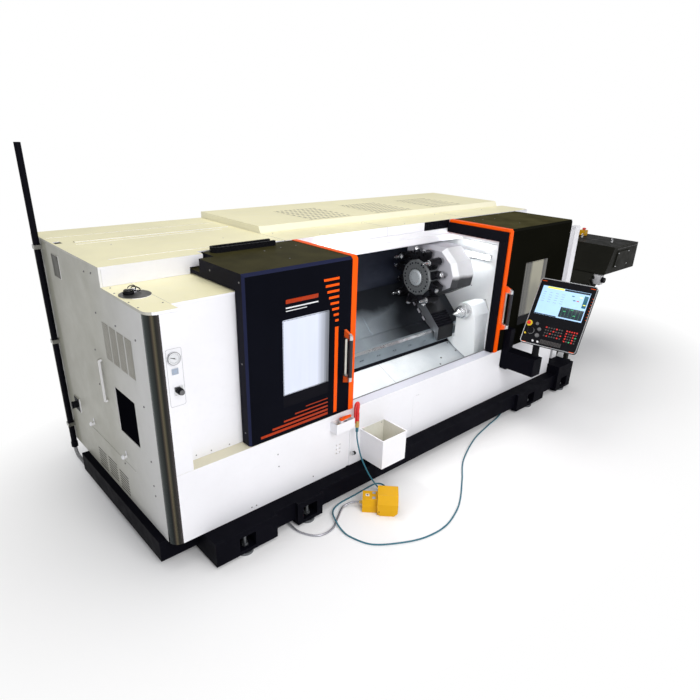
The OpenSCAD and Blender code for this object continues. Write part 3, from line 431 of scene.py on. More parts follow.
def way_steel(name):
    """Oily steel of the slope: nearly black high up, and in painted shadow to the right near the turret;
    paler and streaked towards its foot.
    """
    f = brushed_metal(name, (0.35, 0.4, 0.44), 0.36, stain=(0.16, 0.19, 0.21), metal=0.7)
    drift = f.times(f.band(f.noise(1.6, 4, (1, 1, 1.5)), 0.3, 0.7), 0.16)
    high = f.band(f.math("SUBTRACT", f.axis("Z"), drift), 0.84, 1.0)
    # Painted shadow: the slope darkens to the right, where the turret shades it
    right = f.band(f.math("ADD", f.axis("X"), drift), corner.x + 2.2, corner.x + 2.78)
    rail_top = 0.8
    above_rail = f.above(f.axis("Z"), rail_top)
    dark_top_and_turret_shadow = f.math("MAXIMUM", high, f.times(right, above_rail))
    return f.paint(f.mix(dark_top_and_turret_shadow, f.tint(), (0.018, 0.021, 0.027)))


def saddle_steel():
    """Saddle: bright flank, black upper side and front, and steel where its sheet covers the slope."""
    f = way_steel("saddle_steel")
    rise = f.math("SUBTRACT", f.axis("Z"), f.math("SUBTRACT", f.axis("Y"), corner.y))
    sheet_rise = 0.222
    block = f.above(rise, sheet_rise)
    tint = f.mix(block, f.tint(), (0.012, 0.012, 0.014))
    flank = f.times(block, f.below(f.facing("X"), -0.9))
    return f.paint(f.mix(flank, tint, (0.19, 0.2, 0.215)))


def pan_steel():
    """Chip pan: steel sheet painted near white as a painted reflection of bright light, duller towards its
    right end.
    """
    # The pale, hardly metallic colour is a painted reflection of the bright light on the sheet
    f = brushed_metal("pan_steel", (0.86, 0.93, 0.97), 0.42, stain=(0.5, 0.55, 0.58), metal=0.05)
    # Darker towards the right end
    worn = f.math("ADD", f.axis("X"), f.times(f.noise(2.4, 4), 0.5))
    return f.paint(f.mix(f.band(worn, corner.x + 2.75, corner.x + 3.5), f.tint(), (0.36, 0.4, 0.43)))


def pipe_paint():
    """Black supply pipe with bright clamps, one every 690 mm from 320 mm up."""
    f = sheet_paint("pipe_black", (0.004, 0.004, 0.007), 0.34, 0.25, (0.03, 0.03, 0.035), dull=0.04)
    first, pitch, width = 0.32, 0.69, 0.0282
    along = f.math("FLOORED_MODULO", f.math("SUBTRACT", f.axis("Z"), first), pitch)
    clamp = f.below(along, width)
    f.feed(f.shader.inputs["Metallic"], clamp)
    return f.paint(f.mix(clamp, f.tint(), (0.3, 0.3, 0.28)))


def make_finishes():
    """All materials by name."""
    made = [
        sheet_paint("panel_white", SHEET_WHITE),
        sheet_paint("tailstock_white", (0.93, 0.96, 0.97), 0.42, 0.03),
        roof_paint(),
        # Rear cabinet: its faces to the left in painted shade
        shade_left_faces(sheet_paint("rear_white", SHEET_WHITE), (0.37, 0.365, 0.30)),
        # Roof hood: its level top in painted warm light
        light_on_level_faces("hood_warm_lit", (0.92, 0.89, 0.70), WARM_TOP_LIGHT),
        sill_paint(),
        side_paint(),
        sheet_paint("hood_olive", (0.035, 0.033, 0.018), 0.4, 0.2, (0.1, 0.1, 0.08)),
        sheet_paint("base_black", (0.004, 0.004, 0.007), 0.5, 0.3, (0.02, 0.02, 0.024), 0.2, dull=0.02),
        sheet_paint("conveyor_black", (0.012, 0.012, 0.009), 0.45, 0.3, (0.05, 0.05, 0.04), 0.15, dull=0.05),
        sheet_paint("gloss_black", (0.003, 0.003, 0.005), 0.3, 0.3, (0.01, 0.01, 0.01), 0.02, dull=0.0),
        sheet_paint("trim_orange", (1.0, 0.105, 0.002), 0.36, 0.08, (0.75, 0.09, 0.006), dull=0.08),
        sheet_paint("band_red", (0.42, 0.035, 0.004), 0.3, 0.1, (0.3, 0.03, 0.006), dull=0.15),
        sheet_paint("switch_yellow", (0.76, 0.40, 0.004), 0.4, 0.1, (0.6, 0.4, 0.1), dull=0.2),
        sheet_paint("signal_red", (0.7, 0.02, 0.02), 0.3, 0.1, (0.4, 0.05, 0.04)),
        sheet_paint("seam_grey", (0.36, 0.36, 0.37), 0.5),
        sheet_paint("mesh_grey", (0.43, 0.415, 0.36), 0.5),
        # Dark sheets set in openings: painted shade
        sheet_paint("opening_shade", (0.07, 0.065, 0.055), 0.6, 0.2, dull=0.1),
        # Perforated hood fields: cream as painted warm light on the level top
        sheet_paint("roof_mesh", (0.92, 0.87, 0.59), 0.5),
        sheet_paint("filler_black", (0.03, 0.03, 0.03), 0.35),
        sheet_paint("plate_blue", (0.36, 0.43, 0.55), 0.4),
        sheet_paint("bin_beige", (0.74, 0.73, 0.65), 0.5, 0.15),
        sheet_paint("vent_shade", (0.34, 0.33, 0.25), 0.5, 0.2),
        door_paint("left_door_black", (0.004, 0.0045, 0.008), (0.017, 0.02, 0.05), 0.012,
                   (0.046, 0.041, 0.015)),
        door_paint("right_door_black", (0.006, 0.006, 0.004), (0.008, 0.008, 0.006), 0.0,
                   (0.07, 0.064, 0.03)),
        handle_paint("left", 950, 1250),
        handle_paint("right", 930, 1245),
        pipe_paint(),
        saddle_steel(),
        way_steel("cover_steel"),
        pan_steel(),
        brushed_metal("polished_steel", (0.72, 0.73, 0.74), 0.2, (1, 1, 8), 90, 0.08),
        brushed_metal("cast_steel", (0.2, 0.21, 0.22), 0.45, (1, 1, 1), 40, 0.2),
        brushed_metal("disc_steel", (0.15, 0.16, 0.165), 0.42, (1, 3, 3), 50, 0.2, metal=0.6),
        brushed_metal("hub_steel", (0.4, 0.43, 0.45), 0.45, (1, 3, 3), 50, 0.15, metal=0.5),
        brushed_metal("tool_black", (0.03, 0.03, 0.035), 0.36, (2, 2, 2), 45, 0.3),
        brushed_metal("brass", (0.62, 0.44, 0.16), 0.28, (1, 1, 6), 80, 0.1),
        housing_paint(),
        moulded("moulded_black", (0.007, 0.007, 0.009), 0.42, rubbed=0.08, Specular_IOR_Level=0.06),
        moulded("seal_rubber", (0.005, 0.005, 0.008), 0.6, 0.2, 0.05, Specular_IOR_Level=0.03),
        moulded("hose_blue", (0.018, 0.14, 0.2), 0.35, 0.08, 0.1),
        moulded("cable_grey", (0.52, 0.52, 0.53), 0.4),
        brushed_metal("conduit_steel", (0.42, 0.42, 0.46), 0.3, (1, 1, 1), 120, 0.25, metal=0.8),
        moulded("key_red", (0.72, 0.02, 0.012), 0.4),
        moulded("key_grey", (0.05, 0.045, 0.045), 0.5),
        moulded("key_green", (0.03, 0.42, 0.16), 0.4),
        moulded("key_yellow", (0.85, 0.6, 0.02), 0.35),
        moulded("key_white", (0.82, 0.83, 0.85), 0.35),
        moulded("cap_grey", (0.13, 0.13, 0.135), 0.55),
        lit("lamp_white", (0.95, 0.98, 1.0), 52.0),
        lit("screen_blue", (0.4, 0.62, 0.9), 0.8),
        lit("screen_yellow", (0.9, 0.85, 0.12), 0.8),
        lit("screen_dark", (0.02, 0.035, 0.05), 0.4),
        chamber_paint(),
        corner_steel(),
        # Door windows: the pale colours are painted reflections, the dark ones painted shade
        window_pane("left", (0.70, 0.75, 0.88), (0.10, 0.11, 0.13), [(0.27, 0.352)]),
        window_pane("right", (0.30, 0.285, 0.2), (0.006, 0.006, 0.004), [(0.13, 0.09), (0.292, 0.308)]),
    ]
    return {f.material.name: f.material for f in made}


# Mesh building
SMOOTH_BELOW = math.radians(34)
lay_across = {"x": lambda u, v, w: (w, u, v), "y": lambda u, v, w: (u, w, v), "z": lambda u, v, w: (u, v, w)}


class Shape:
    """A piece under construction, in millimetres, in the machine's frame or another given one."""

    def __init__(self, place=None):
        self.mesh = bmesh.new()
        self.place = place if place else Matrix.Identity(4)

    def soften(self, verts, width, segments=2):
        if width:
            edges = list({e for v in verts for e in v.link_edges})
            bmesh.ops.bevel(self.mesh, geom=edges, offset=width, segments=segments, affect="EDGES",
                            profile=0.5, clamp_overlap=True)

    def skin(self, rows, closed=False):
        """Faces over rows of as many points, joined in a loop or capped at both ends."""
        rows = [[self.mesh.verts.new(point) for point in row] for row in rows]
        faces = [] if closed else [self.mesh.faces.new(rows[0][::-1]), self.mesh.faces.new(rows[-1])]
        following = rows[1:] + rows[:1] if closed else rows[1:]
        for here, there in zip(rows, following):
            for i, first in enumerate(here):
                j = (i + 1) % len(here)
                faces.append(self.mesh.faces.new((first, here[j], there[j], there[i])))
        bmesh.ops.recalc_face_normals(self.mesh, faces=faces)
        return [vert for row in rows for vert in row]

    def block(self, low, high, soft=0.0, segments=2):
        """Box between two corners, with softened edges."""
        made = bmesh.ops.create_cube(self.mesh, size=1)["verts"]
        low, high = Vector(low), Vector(high)
        grow = Matrix.Translation((low + high) / 2) @ Matrix.Diagonal((*(high - low), 1))
        bmesh.ops.transform(self.mesh, matrix=grow, verts=made)
        self.soften(made, soft, segments)
        return self

    def bar(self, start, end, radius, sides=32, soft=0.0):
        """Round or many-sided bar between two points."""
        start, end = Vector(start), Vector(end)
        run = end - start
        turned = run.to_track_quat("Z", "Y").to_matrix().to_4x4()
        made = bmesh.ops.create_cone(self.mesh, cap_ends=True, segments=sides, radius1=radius,
                                     radius2=radius, depth=run.length)["verts"]
        bmesh.ops.transform(self.mesh, matrix=Matrix.Translation((start + end) / 2) @ turned, verts=made)
        if soft:
            rims = {e for v in made for e in v.link_edges
                    if len(e.link_faces) == 2 and e.calc_face_angle() > 1}
            bmesh.ops.bevel(self.mesh, geom=list(rims), offset=soft, segments=2, affect="EDGES")
        return self

    def plate(self, outline, low, high, axis="y", soft=0.0):
        """Flat outline drawn in the plane across axis and given a thickness from low to high."""
        lay = lay_across[axis]
        self.soften(self.skin([[lay(u, v, w) for u, v in outline] for w in (low, high)]), soft)
        return self

    def rim(self, outer, inner, low, high, axis="y"):
        """Flat frame between two outlines of as many points, from low to high."""
        lay = lay_across[axis]
        edges = ((outer, low), (outer, high), (inner, high), (inner, low))
        self.skin([[lay(u, v, w) for u, v in line] for line, w in edges], True)
        return self

    def blocks(self, boxes):
        """Thin sheets, each a box with hardly softened edges."""
        for low, high in boxes:
            self.block(low, high, 0.15, 1)
        return self

    def join(self, other):
        """Takes in another shape, with its own frame."""
        other.mesh.transform(other.place)
        data = bpy.data.meshes.new("joined")
        other.mesh.to_mesh(data)
        other.mesh.free()
        self.mesh.from_mesh(data)
        bpy.data.meshes.remove(data)
        return self

    def ring(self, centre, axis, radius, thick, sides=48, round_sides=12, sweep=360.0, turn=0.0):
        """Round rod bent to a circle, or to part of one."""
        turned = Vector(axis).to_track_quat("Z", "Y").to_matrix().to_4x4()
        steps = max(3, round(sides * sweep / 360))
        closed = sweep >= 360
        rows = []
        for i in range(steps if closed else steps + 1):
            a = math.radians(turn + sweep * i / steps)
            row = []
            for k in range(round_sides):
                b = math.tau * k / round_sides
                reach = radius + thick * math.cos(b)
                at = turned @ Vector((reach * math.cos(a), reach * math.sin(a), thick * math.sin(b)))
                row.append(at + Vector(centre))
            rows.append(row)
        self.skin(rows, closed)
        return self

    def turned_form(self, start, axis, profile, sides=48):
        """Solid of revolution: profile lists (distance along the axis, radius)."""
        turned = Vector(axis).to_track_quat("Z", "Y").to_matrix().to_4x4()
        spokes = [math.tau * k / sides for k in range(sides)]
        self.skin([[Vector(start) + turned @ Vector((radius * math.cos(a), radius * math.sin(a), along))
                    for a in spokes] for along, radius in profile])
        return self

    def piece(self, name, finish, body="machine"):
        """The finished object, riding on a body, with its rounded faces shaded smooth."""
        self.mesh.transform(machine @ self.place)
        for face in self.mesh.faces:
            face.smooth = True
        for e in self.mesh.edges:
            e.smooth = len(e.link_faces) == 2 and e.calc_face_angle() < SMOOTH_BELOW
        data = bpy.data.meshes.new(name)
        self.mesh.to_mesh(data)
        self.mesh.free()
        return show(name, data, body, finish)


def show(name, data, body, finish=None):
    """Puts a mesh in the scene as a piece of that body."""
    if finish:
        data.materials.append(finishes[finish])
    piece = put(name, data)
    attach(piece, body)
    return piece


def round_outline(low, high, radius, steps=6):
    """Corner-rounded rectangle as a list of points."""
    (x0, y0), (x1, y1) = low, high
    centres = [(x1 - radius, y1 - radius, 0), (x0 + radius, y1 - radius, 90), (x0 + radius, y0 + radius, 180),
               (x1 - radius, y0 + radius, 270)]
    return [(cx + radius * math.cos(math.radians(a + 90 * k / steps)),
             cy + radius * math.sin(math.radians(a + 90 * k / steps)))
            for cx, cy, a in centres for k in range(steps + 1)]


make_camera()
finishes = make_finishes()

# Cords
hose_diameter = 11.0
hose_points = [(1431, -50, 500), (1433, -56, 430), (1445, -90, 300), (1472, -140, 180), (1503, -177, 100),
               (1540, -202, 40), (1580, -209, 11), (1610, -200, 6), (1628, -175, 6), (1627, -144, 6),
               (1608, -120, 6), (1578, -110, 6), (1538, -109, 6), (1460, -112, 6), (1350, -116, 6),
               (1210, -122, 6), (1110, -170, 16), (1055, -262, 22), (1030, -360, 10), (1033, -450, 6),
               (1092, -591, 6), (1246, -701, 6), (1416, -773, 6), (1611, -787, 6), (1804, -732, 6),
               (1960, -650, 6), (2164, -508, 6), (2400, -340, 6), (2750, -190, 6), (3060, -118, 6),
               (3180, -97, 6), (3240, -86, 6), (3278, -77, 6), (3302, -71, 6), (3321, -66, 6.2),
               (3337, -62, 9), (3350.5, -59, 17), (3360.5, -56.5, 29), (3366, -55, 44)]
cable_diameter = 14.0
cable_points = [(782, -44, 40), (790, -80, 20), (800, -189, 8), (871, -295, 8), (987, -305, 8),
                (1103, -234, 8), (1200, -175, 12), (1270, -194, 32), (1307, -231, 40)]


def smooth_route(points, steps=8):
    """Points on a smooth curve through the given ones."""
    p = [Vector(q) for q in points]
    p = [p[0], *p, p[-1]]
    route = []
    for a, b, c, d in zip(p, p[1:], p[2:], p[3:]):
        for k in range(steps):
            t = k / steps
            route.append(0.5 * (2 * b + (c - a) * t + (2 * a - 5 * b + 4 * c - d) * t ** 2
                                + (3 * b - a - 3 * c + d) * t ** 3))
    return route + [p[-1]]


def lay_cord(name, points, diameter, finish, node):
    """A free cord from its exit on the machine to what hangs on its far end."""
    route = [machine @ p for p in smooth_route(points)]
    curve = bpy.data.curves.new(name, "CURVE")
    curve.dimensions = "3D"
    curve.bevel_depth = diameter / 2 * MM
    curve.bevel_resolution = 4
    curve.use_fill_caps = True
    spline = curve.splines.new("POLY")
    spline.points.add(len(route) - 1)
    for point, at in zip(spline.points, route):
        point.co = (*at, 1)
    curve.materials.append(finishes[finish])
    cord = put(name, curve)
    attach(cord, "machine")
    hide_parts(node)


lay_cord("air_hose_line", hose_points[::-1], hose_diameter, "hose_blue", "air_hose")
lay_cord("switch_cable_line", cable_points, cable_diameter, "conduit_steel", "footswitch_cable")

# Finishes of the solids
node_finishes = {
    "panel_white": ["left_front_cover", "right_front_cover", "door_track", "parts_bin", "tool_tray",
                    "right_end_panel", "work_light"],
    "tailstock_white": ["tailstock"],
    "rear_white": ["rear_cabinet"],
    "roof_paint": ["roof_covers", "left_step_plate"],
    "hood_warm_lit": ["roof_hood"],
    "sill_paint": ["front_panel"],
    "side_paint": ["left_side_panel"],
    "corner_steel": ["corner_post"],
    "chamber_paint": ["chamber_walls"],
    "left_door_black": ["left_door_shell"],
    "right_door_black": ["right_door_shell"],
    "left_pane": ["left_door_window"],
    "right_pane": ["right_door_window"],
    "left_handle_paint": ["left_door_handle"],
    "right_handle_paint": ["right_door_handle"],
    "pipe_black": ["supply_conduit"],
    "trim_orange": ["left_door_trim", "right_door_trim", "valve_lever"],
    "base_black": ["base_frame", "panel_arm"],
    "conveyor_black": ["conveyor_riser", "conveyor_hood"],
    "cover_steel": ["way_cover_fixed", "way_cover_middle", "slant_bed"],
    "pan_steel": ["chip_pan"],
    "polished_steel": ["lifting_eyes", "live_centre", "chuck", "pressure_gauge", "chuck_jaw_1", "chuck_jaw_2",
                       "chuck_jaw_3"],
    "cast_steel": ["headstock", "leveling_feet"],
    "saddle_steel": ["saddle"],
    "housing_grey": ["turret_housing"],
    "disc_steel": ["turret_disc"],
    "tool_black": ["tool_holders"],
    "moulded_black": ["panel_housing", "panel_handwheel", "cable_chain", "regulator_knob", "foot_pedal",
                      "main_switch_handle"],
    "screen_blue": ["panel_screen"],
    "signal_red": ["panel_stop_button", "conveyor_stop_button", "blow_gun"],
    "switch_yellow": ["footswitch_housing"],
}
for finish, names in node_finishes.items():
    for name in names:
        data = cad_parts[name].data
        data.materials.clear()
        data.materials.append(finishes[finish])


# Repeated small parts
class Pattern(Nodes):
    """Geometry tree with named inputs, grown on seed points and turned into a plain mesh piece."""

    def __init__(self, name, **inputs):
        self.tree = bpy.data.node_groups.new(name, "GeometryNodeTree")
        face = self.tree.interface
        face.new_socket("Seeds", in_out="INPUT", socket_type="NodeSocketGeometry")
        for label, kind in inputs.items():
            face.new_socket(label, in_out="INPUT", socket_type="NodeSocket" + kind)
        face.new_socket("Finish", in_out="INPUT", socket_type="NodeSocketMaterial")
        face.new_socket("Parts", in_out="OUTPUT", socket_type="NodeSocketGeometry")
        self.given = self.tree.nodes.new("NodeGroupInput").outputs

    def turn(self, axis, vector):
        """Rotation that brings the axis onto the vector."""
        return self.add("FunctionNodeAlignRotationToVector", axis=axis, Vector=vector).outputs[0]

    def close(self, part, rotation):
        """Puts the part on every seed, makes it real and paints it."""
        placed = self.add("GeometryNodeInstanceOnPoints", Points=self.given["Seeds"], Instance=part,
                          Rotation=rotation).outputs[0]
        real = self.add("GeometryNodeRealizeInstances", Geometry=placed).outputs[0]
        painted = self.add("GeometryNodeSetMaterial", Geometry=real, Material=self.given["Finish"]).outputs[0]
        self.tree.links.new(painted, self.tree.nodes.new("NodeGroupOutput").inputs[0])
        return self

    def piece(self, name, body, seeds, finish, **values):
        """The pattern on those seeds (millimetres from the datum) as one piece of that body."""
        data = bpy.data.meshes.new(name + "_seeds")
        data.from_pydata([machine @ Vector(seed) for seed in seeds], [], [])
        grower = put(name + "_seeds", data)
        modifier = grower.modifiers.new(name, "NODES")
        modifier.node_group = self.tree
        values["Finish"] = finishes[finish]
        for item in self.tree.interface.items_tree:
            if item.in_out == "INPUT" and item.name in values:
                value = values[item.name]
                modifier[item.identifier] = [float(c) for c in value] if isinstance(value, tuple) else value
        grown = bpy.data.meshes.new_from_object(grower.evaluated_get(bpy.context.evaluated_depsgraph_get()))
        bpy.data.objects.remove(grower)
        bpy.data.meshes.remove(data)
        return show(name, grown, body)


def screw_pattern():
    """Low cap screws: a tapered head with a hexagon in its middle."""
    p = Pattern("screw_heads", Radius="Float", Height="Float", Axis="Vector")
    radius, height = p.given["Radius"], p.given["Height"]
    head = p.add("GeometryNodeMeshCone", Vertices=16, Radius_Bottom=radius,
                 Radius_Top=p.times(radius, 0.82), Depth=height).outputs[0]
    hexagon = p.add("GeometryNodeMeshCone", Vertices=6, Radius_Bottom=p.times(radius, 0.5),
                    Radius_Top=p.times(radius, 0.42),
                    Depth=p.times(height, 1.25)).outputs[0]
    both = p.add("GeometryNodeJoinGeometry")
    p.tree.links.new(head, both.inputs[0])
    p.tree.links.new(hexagon, both.inputs[0])
    return p.close(both.outputs[0], p.turn("Z", p.given["Axis"]))


def mesh_pattern():
    """Flat field of square perforations."""
    p = Pattern("perforated_field", Width="Float", Height="Float", Columns="Int", Rows="Int", Open="Float",
                Axis="Vector")
    grid = p.add("GeometryNodeMeshGrid", Size_X=p.given["Width"], Size_Y=p.given["Height"],
                 Vertices_X=p.given["Columns"], Vertices_Y=p.given["Rows"]).outputs[0]
    pushed = p.add("GeometryNodeExtrudeMesh", mode="FACES", Mesh=grid, Offset_Scale=0.0, Individual=True)
    inset = p.add("GeometryNodeScaleElements", domain="FACE", Geometry=pushed.outputs["Mesh"],
                  Selection=pushed.outputs["Top"], Scale=p.given["Open"])
    bored = p.add("GeometryNodeDeleteGeometry", domain="FACE", Geometry=inset.outputs[0],
                  Selection=pushed.outputs["Top"]).outputs[0]
    return p.close(bored, p.turn("Z", p.given["Axis"]))


def ring_pattern():
    """Small blocks set round a circle, each turned to the middle."""
    p = Pattern("ring_of_blocks", Count="Int", Radius="Float", Size="Vector", Axis="Vector")
    circle = p.add("GeometryNodeMeshCircle", Vertices=p.given["Count"], Radius=p.given["Radius"]).outputs[0]
    block = p.add("GeometryNodeMeshCube", Size=p.given["Size"]).outputs[0]
    outward = p.turn("X", p.add("GeometryNodeInputPosition").outputs[0])
    ring = p.add("GeometryNodeInstanceOnPoints", Points=circle, Instance=block, Rotation=outward).outputs[0]
    return p.close(ring, p.turn("Z", p.given["Axis"]))


screws = screw_pattern()
perforation = mesh_pattern()
ring_of = ring_pattern()

# Turret: middle of its disc, and its tool stations
turret_middle = Vector((2770, 656.18, 1296.18))
stations = 12


def station_angle(station):
    """Degrees from the top of the disc to the middle of a station."""
    return 360 / stations * station + 15


# Control panel: size, middle and directions of its face
panel_size = Vector((495, 614))
panel_centre = Vector((3480, -390, 1078))
panel_across = Vector((0.1822, -0.9833, 0))
panel_up = Vector((0.52687, 0.09765, 0.84433))
panel_out = Vector((-0.83019, -0.15387, 0.53583))


# Short ways to make the plain pieces
def slab(name, finish, low, high, soft=0.5, body="machine"):
    """One sheet or block with softened edges."""
    return Shape().block(low, high, soft).piece(name, finish, body)


def slabs(name, finish, boxes, body="machine"):
    """Several thin sheets as one piece."""
    return Shape().blocks(boxes).piece(name, finish, body)


def turned_part(name, finish, start, axis, profile, body="machine"):
    """One turned part: profile lists (distance along the axis, radius)."""
    return Shape().turned_form(start, axis, profile).piece(name, finish, body)


def put_screws(name, seeds, axis, radius=5.0, height=2.0, finish="cap_grey", body="machine"):
    """Screws of one size, one on each seed."""
    return screws.piece(name, body, seeds, finish, Radius=radius * MM, Height=height * MM, Axis=axis)


def put_ring(name, finish, seeds, axis, count, radius, size, body="machine"):
    """Small blocks round a circle on each seed."""
    return ring_of.piece(name, body, seeds, finish, Count=count, Radius=radius * MM,
                         Size=tuple(c * MM for c in size), Axis=axis)


def dress_left_side():
    """Vents, windows, latches and screws of the left side panel."""
    columns = [250 + 110 * c for c in range(4)]
    # Dark sheets behind the vents and in the lower louvre slots: painted shade of the panel's inside
    slabs("vent_shade_sheets", "opening_shade", [((-0.8, y + 3, 1209), (-0.1, y + 87, 1439)) for y in columns])
    perforation.piece("vent_mesh", "machine", [(-1.0, y + 45, 1324) for y in columns], "mesh_grey",
                      Width=236 * MM, Height=90 * MM, Columns=23, Rows=9, Open=0.52, Axis=to_left)
    slots = [(620 + 190 * c, 222 + c % 2 * 12 + 22 * r) for c in range(3) for r in range(7)]
    slabs("louvre_shade_sheets", "opening_shade", [((-0.7, y + 1, z), (-0.1, y + 149, z + 8)) for y, z in slots])
    slab("side_window", "gloss_black", (2.4, 325, 735), (3.9, 614, 1034))
    slab("sight_window", "hood_olive", (-4.4, 1324, 1556), (-3.05, 1451, 1703))
    button = [(0, 13), (3, 16), (10, 15), (15, 10), (17, 4)]
    for name, y in (("front_latch", 584), ("rear_latch", 1148)):
        latch = Shape().turned_form((-17.5, y, 553), to_left, button)
        latch.block((-4, y - 8, 553), (-0.2, y + 8, 592), 2).piece(name, "panel_white")
    places = [(846, 1704), (728, 1717), (747, 1474), (869, 1200), (889, 953), (450, 1473), (181, 1467),
              (182, 1070), (180, 711), (187, 538), (180, 469), (633, 474), (1254, 490)]
    put_screws("side_screws", [(0, y, z) for y, z in places], to_left, 6.5, 3)
    slab("switch_plate", "moulded_black", (-9.2, 1408, 532), (-8.05, 1510, 638))


def dress_service_strip():
    """Gauge, symbol plate and regulator on the strip beside the corner post."""
    Shape().rim(round_outline((76, 1112), (166, 1448), 12),
                round_outline((77.6, 1113.6), (164.4, 1446.4), 10.5), -0.7, -0.05).piece(
        "service_outline", "seam_grey")
    gauge_x, gauge_z = 117, 1396
    rims = [round_outline((gauge_x - r, gauge_z - r), (gauge_x + r, gauge_z + r), r - 0.1, 12)
            for r in (36, 34, 30)]
    Shape().rim(rims[0], rims[1], -16, -0.1).piece("gauge_rim", "cap_grey")
    Shape().rim(rims[1], rims[2], -15.6, -0.1).piece("gauge_bezel", "key_white")
    turned_part("gauge_dial", "key_white", (gauge_x, -9.9, gauge_z), to_front, [(0, 30.8), (0.8, 30.6)])
    pointer = [(97, 1405), (96, 1402.5), (118, 1392.5), (130, 1389), (118.5, 1396)]
    needle = Shape().plate(pointer, -12.6, -11.8)
    needle.bar((gauge_x, -10.5, gauge_z), (gauge_x, -13.4, gauge_z), 3.2)
    needle.piece("gauge_needle", "moulded_black")
    put_ring("gauge_ticks", "moulded_black", [(gauge_x, -10.9, gauge_z)], to_front, 24, 26, (5, 0.9, 0.5))
    Shape().plate(round_outline((101, 1301), (137, 1335), 5), -5, -4.05).piece("symbol_plate", "plate_blue")
    Shape().rim(round_outline((106, 1306), (132, 1330), 3), round_outline((108, 1308), (130, 1328), 2),
                -5.5, -5.02).piece("symbol_frame", "seam_grey")
    turned_part("regulator_cap", "cap_grey", (129, -42, 1205), to_front,
                [(0, 13), (0.5, 14), (5, 14), (6, 12.6)], "regulator")


def dress_step():
    """Filler opening with its cap and strap on the left step, its seam, and screws on it and below it."""
    turned_part("filler_disc", "filler_black", (95, 352, step_top + 4), upward,
                [(0, 86.6), (0.5, 86.6), (1.2, 85.6)])
    turned_part("filler_cap", "moulded_black", (68, 372, step_top + 5), upward,
                [(0, 27), (2, 29), (12, 29), (14, 26), (22, 25), (24, 22)])
    put_ring("filler_cap_ribs", "moulded_black", [(68, 372, step_top + 12)], upward, 22, 29.2, (2, 2.2, 9))
    strap = Shape().ring((118, 392, step_top + 22), (0.25, -0.35, 1), 24, 3.2, 40, 8)
    strap.ring((92, 382, step_top + 30), (0.1, 0.9, 0.4), 22, 2.6, 40, 8, 200, 10)
    strap.piece("filler_strap", "moulded_black")
    places = [(16, 442), (11, 236), (12, 120), (40, 560), (150, 130)]
    put_screws("step_screws", [(x, y, step_top) for x, y in places], upward)
    slab("step_seam", "seam_grey", (172.4, 92, step_top + 0.05), (174, 598, step_top + 0.6), 0.1)
    put_screws("field_screws", [(241, 94, 702), (342, 94, 697), (468, 94, 692)], to_front, 4.5, 1.6)


def dress_door(side, window_x, outer_x, outward, hood_places):
    """Window with its printed dots, and the screws on one door's end and hood."""
    body = side + "_door"
    glass = round_outline((window_x, 872), (window_x + 368, 1457), 8)
    Shape().plate(glass, -0.7, 3.4).piece(side + "_window_face", side + "_pane", body)
    dot, pitch = 5, 10
    spots = [(window_x + 1, 960 + pitch * k) for k in range(49)]
    spots += [(window_x + 3 + pitch * k, z) for k in range(36) for z in (956, 1449)]
    dots = Shape()
    for x, z in spots:
        dots.block((x, -1.1, z), (x + dot, -0.65, z + dot))
    dots.piece(side + "_window_dots", "seal_rubber", body)
    end_places = ((37, 1724), (47, 1228), (47, 760), (358, 1730))
    put_screws(side + "_end_screws", [(outer_x, y, z) for y, z in end_places], outward, 6, 2.4, body=body)
    put_screws(side + "_hood_screws", [(x, y, door_top) for x, y in hood_places], upward, 5, 1.8, body=body)


def dress_doors():
    """Both doors, the left one's plain bars of colour and the right one's seal."""
    dress_door("left", 823, 560, to_left, [(1016, 179), (1013, 451), (1161, 477), (1290, 479)])
    dress_door("right", 3490, 4221, to_right, [(3580, 179), (3583, 451), (3435, 477), (3306, 479)])
    proud, sunk = -1.2, -0.05
    strip = Shape().block((1243, proud, 700), (1272, sunk, 1330), 0.4)
    for k in range(8):
        strip.block((1243 - 14 * k, proud, 1366 + 40 * k), (1272, sunk, 1382 + 40 * k), 0.4)
    strip.piece("left_door_strip", "trim_orange", "left_door")
    bars = Shape()
    for k in range(5):
        bars.block((640 + 90 * k, proud, 704 + 30 * k), (1190, sunk, 722 + 27 * k), 0.4)
    bars.block((850, proud, 1556), (1100, sunk, 1582), 0.4)
    bars.piece("left_door_bars", "band_red", "left_door")
    slabs("left_door_lines", "key_white", [((850, proud, 1526), (1100, sunk, 1534)),
                                           ((850, proud, 1508), (1010, sunk, 1513))], "left_door")
    put_screws("strip_screws", [(1258, proud, z) for z in (894, 818)], to_front, 5, 1.5, "key_red",
               "left_door")
    seal = Shape().block((3139.6, 9.4, 679), (3170.2, 80.6, 1673), 1)
    seal.block((3139.6, 9.4, 1671.6), (3170.2, 640.4, 1755.4), 1)
    seal.piece("right_door_seal", "seal_rubber", "right_door")


def dress_front_panel():
    """Screws and seal of the lower front panel, and its bin."""
    slab("sill_seal", "cap_grey", (1420, 92, 673.6), (3180, 103.6, 676), 0.6)
    places = [(550, 224), (586, 223), (1066, 243), (768, 543), (773, 448)]
    put_screws("panel_screws", [(x, 0, z) for x, z in places], to_front, 5, 1.8)
    slabs("bin_lining", "bin_beige", [
        ((1518.2, -236.6, 236.2), (1758.8, -3.8, 237)), ((1518.1, -236.6, 236), (1518.9, -3.8, 470)),
        ((1758.1, -236.6, 236), (1758.9, -3.8, 470)), ((1518.2, -236.9, 236), (1758.8, -236.1, 470)),
        ((1518.2, -4.5, 236), (1758.8, -3.7, 470))])
    put_screws("bin_screws", [(1545, -5.2, 455), (1732, -5.2, 455)], to_front, 6, 2.5, "polished_steel")


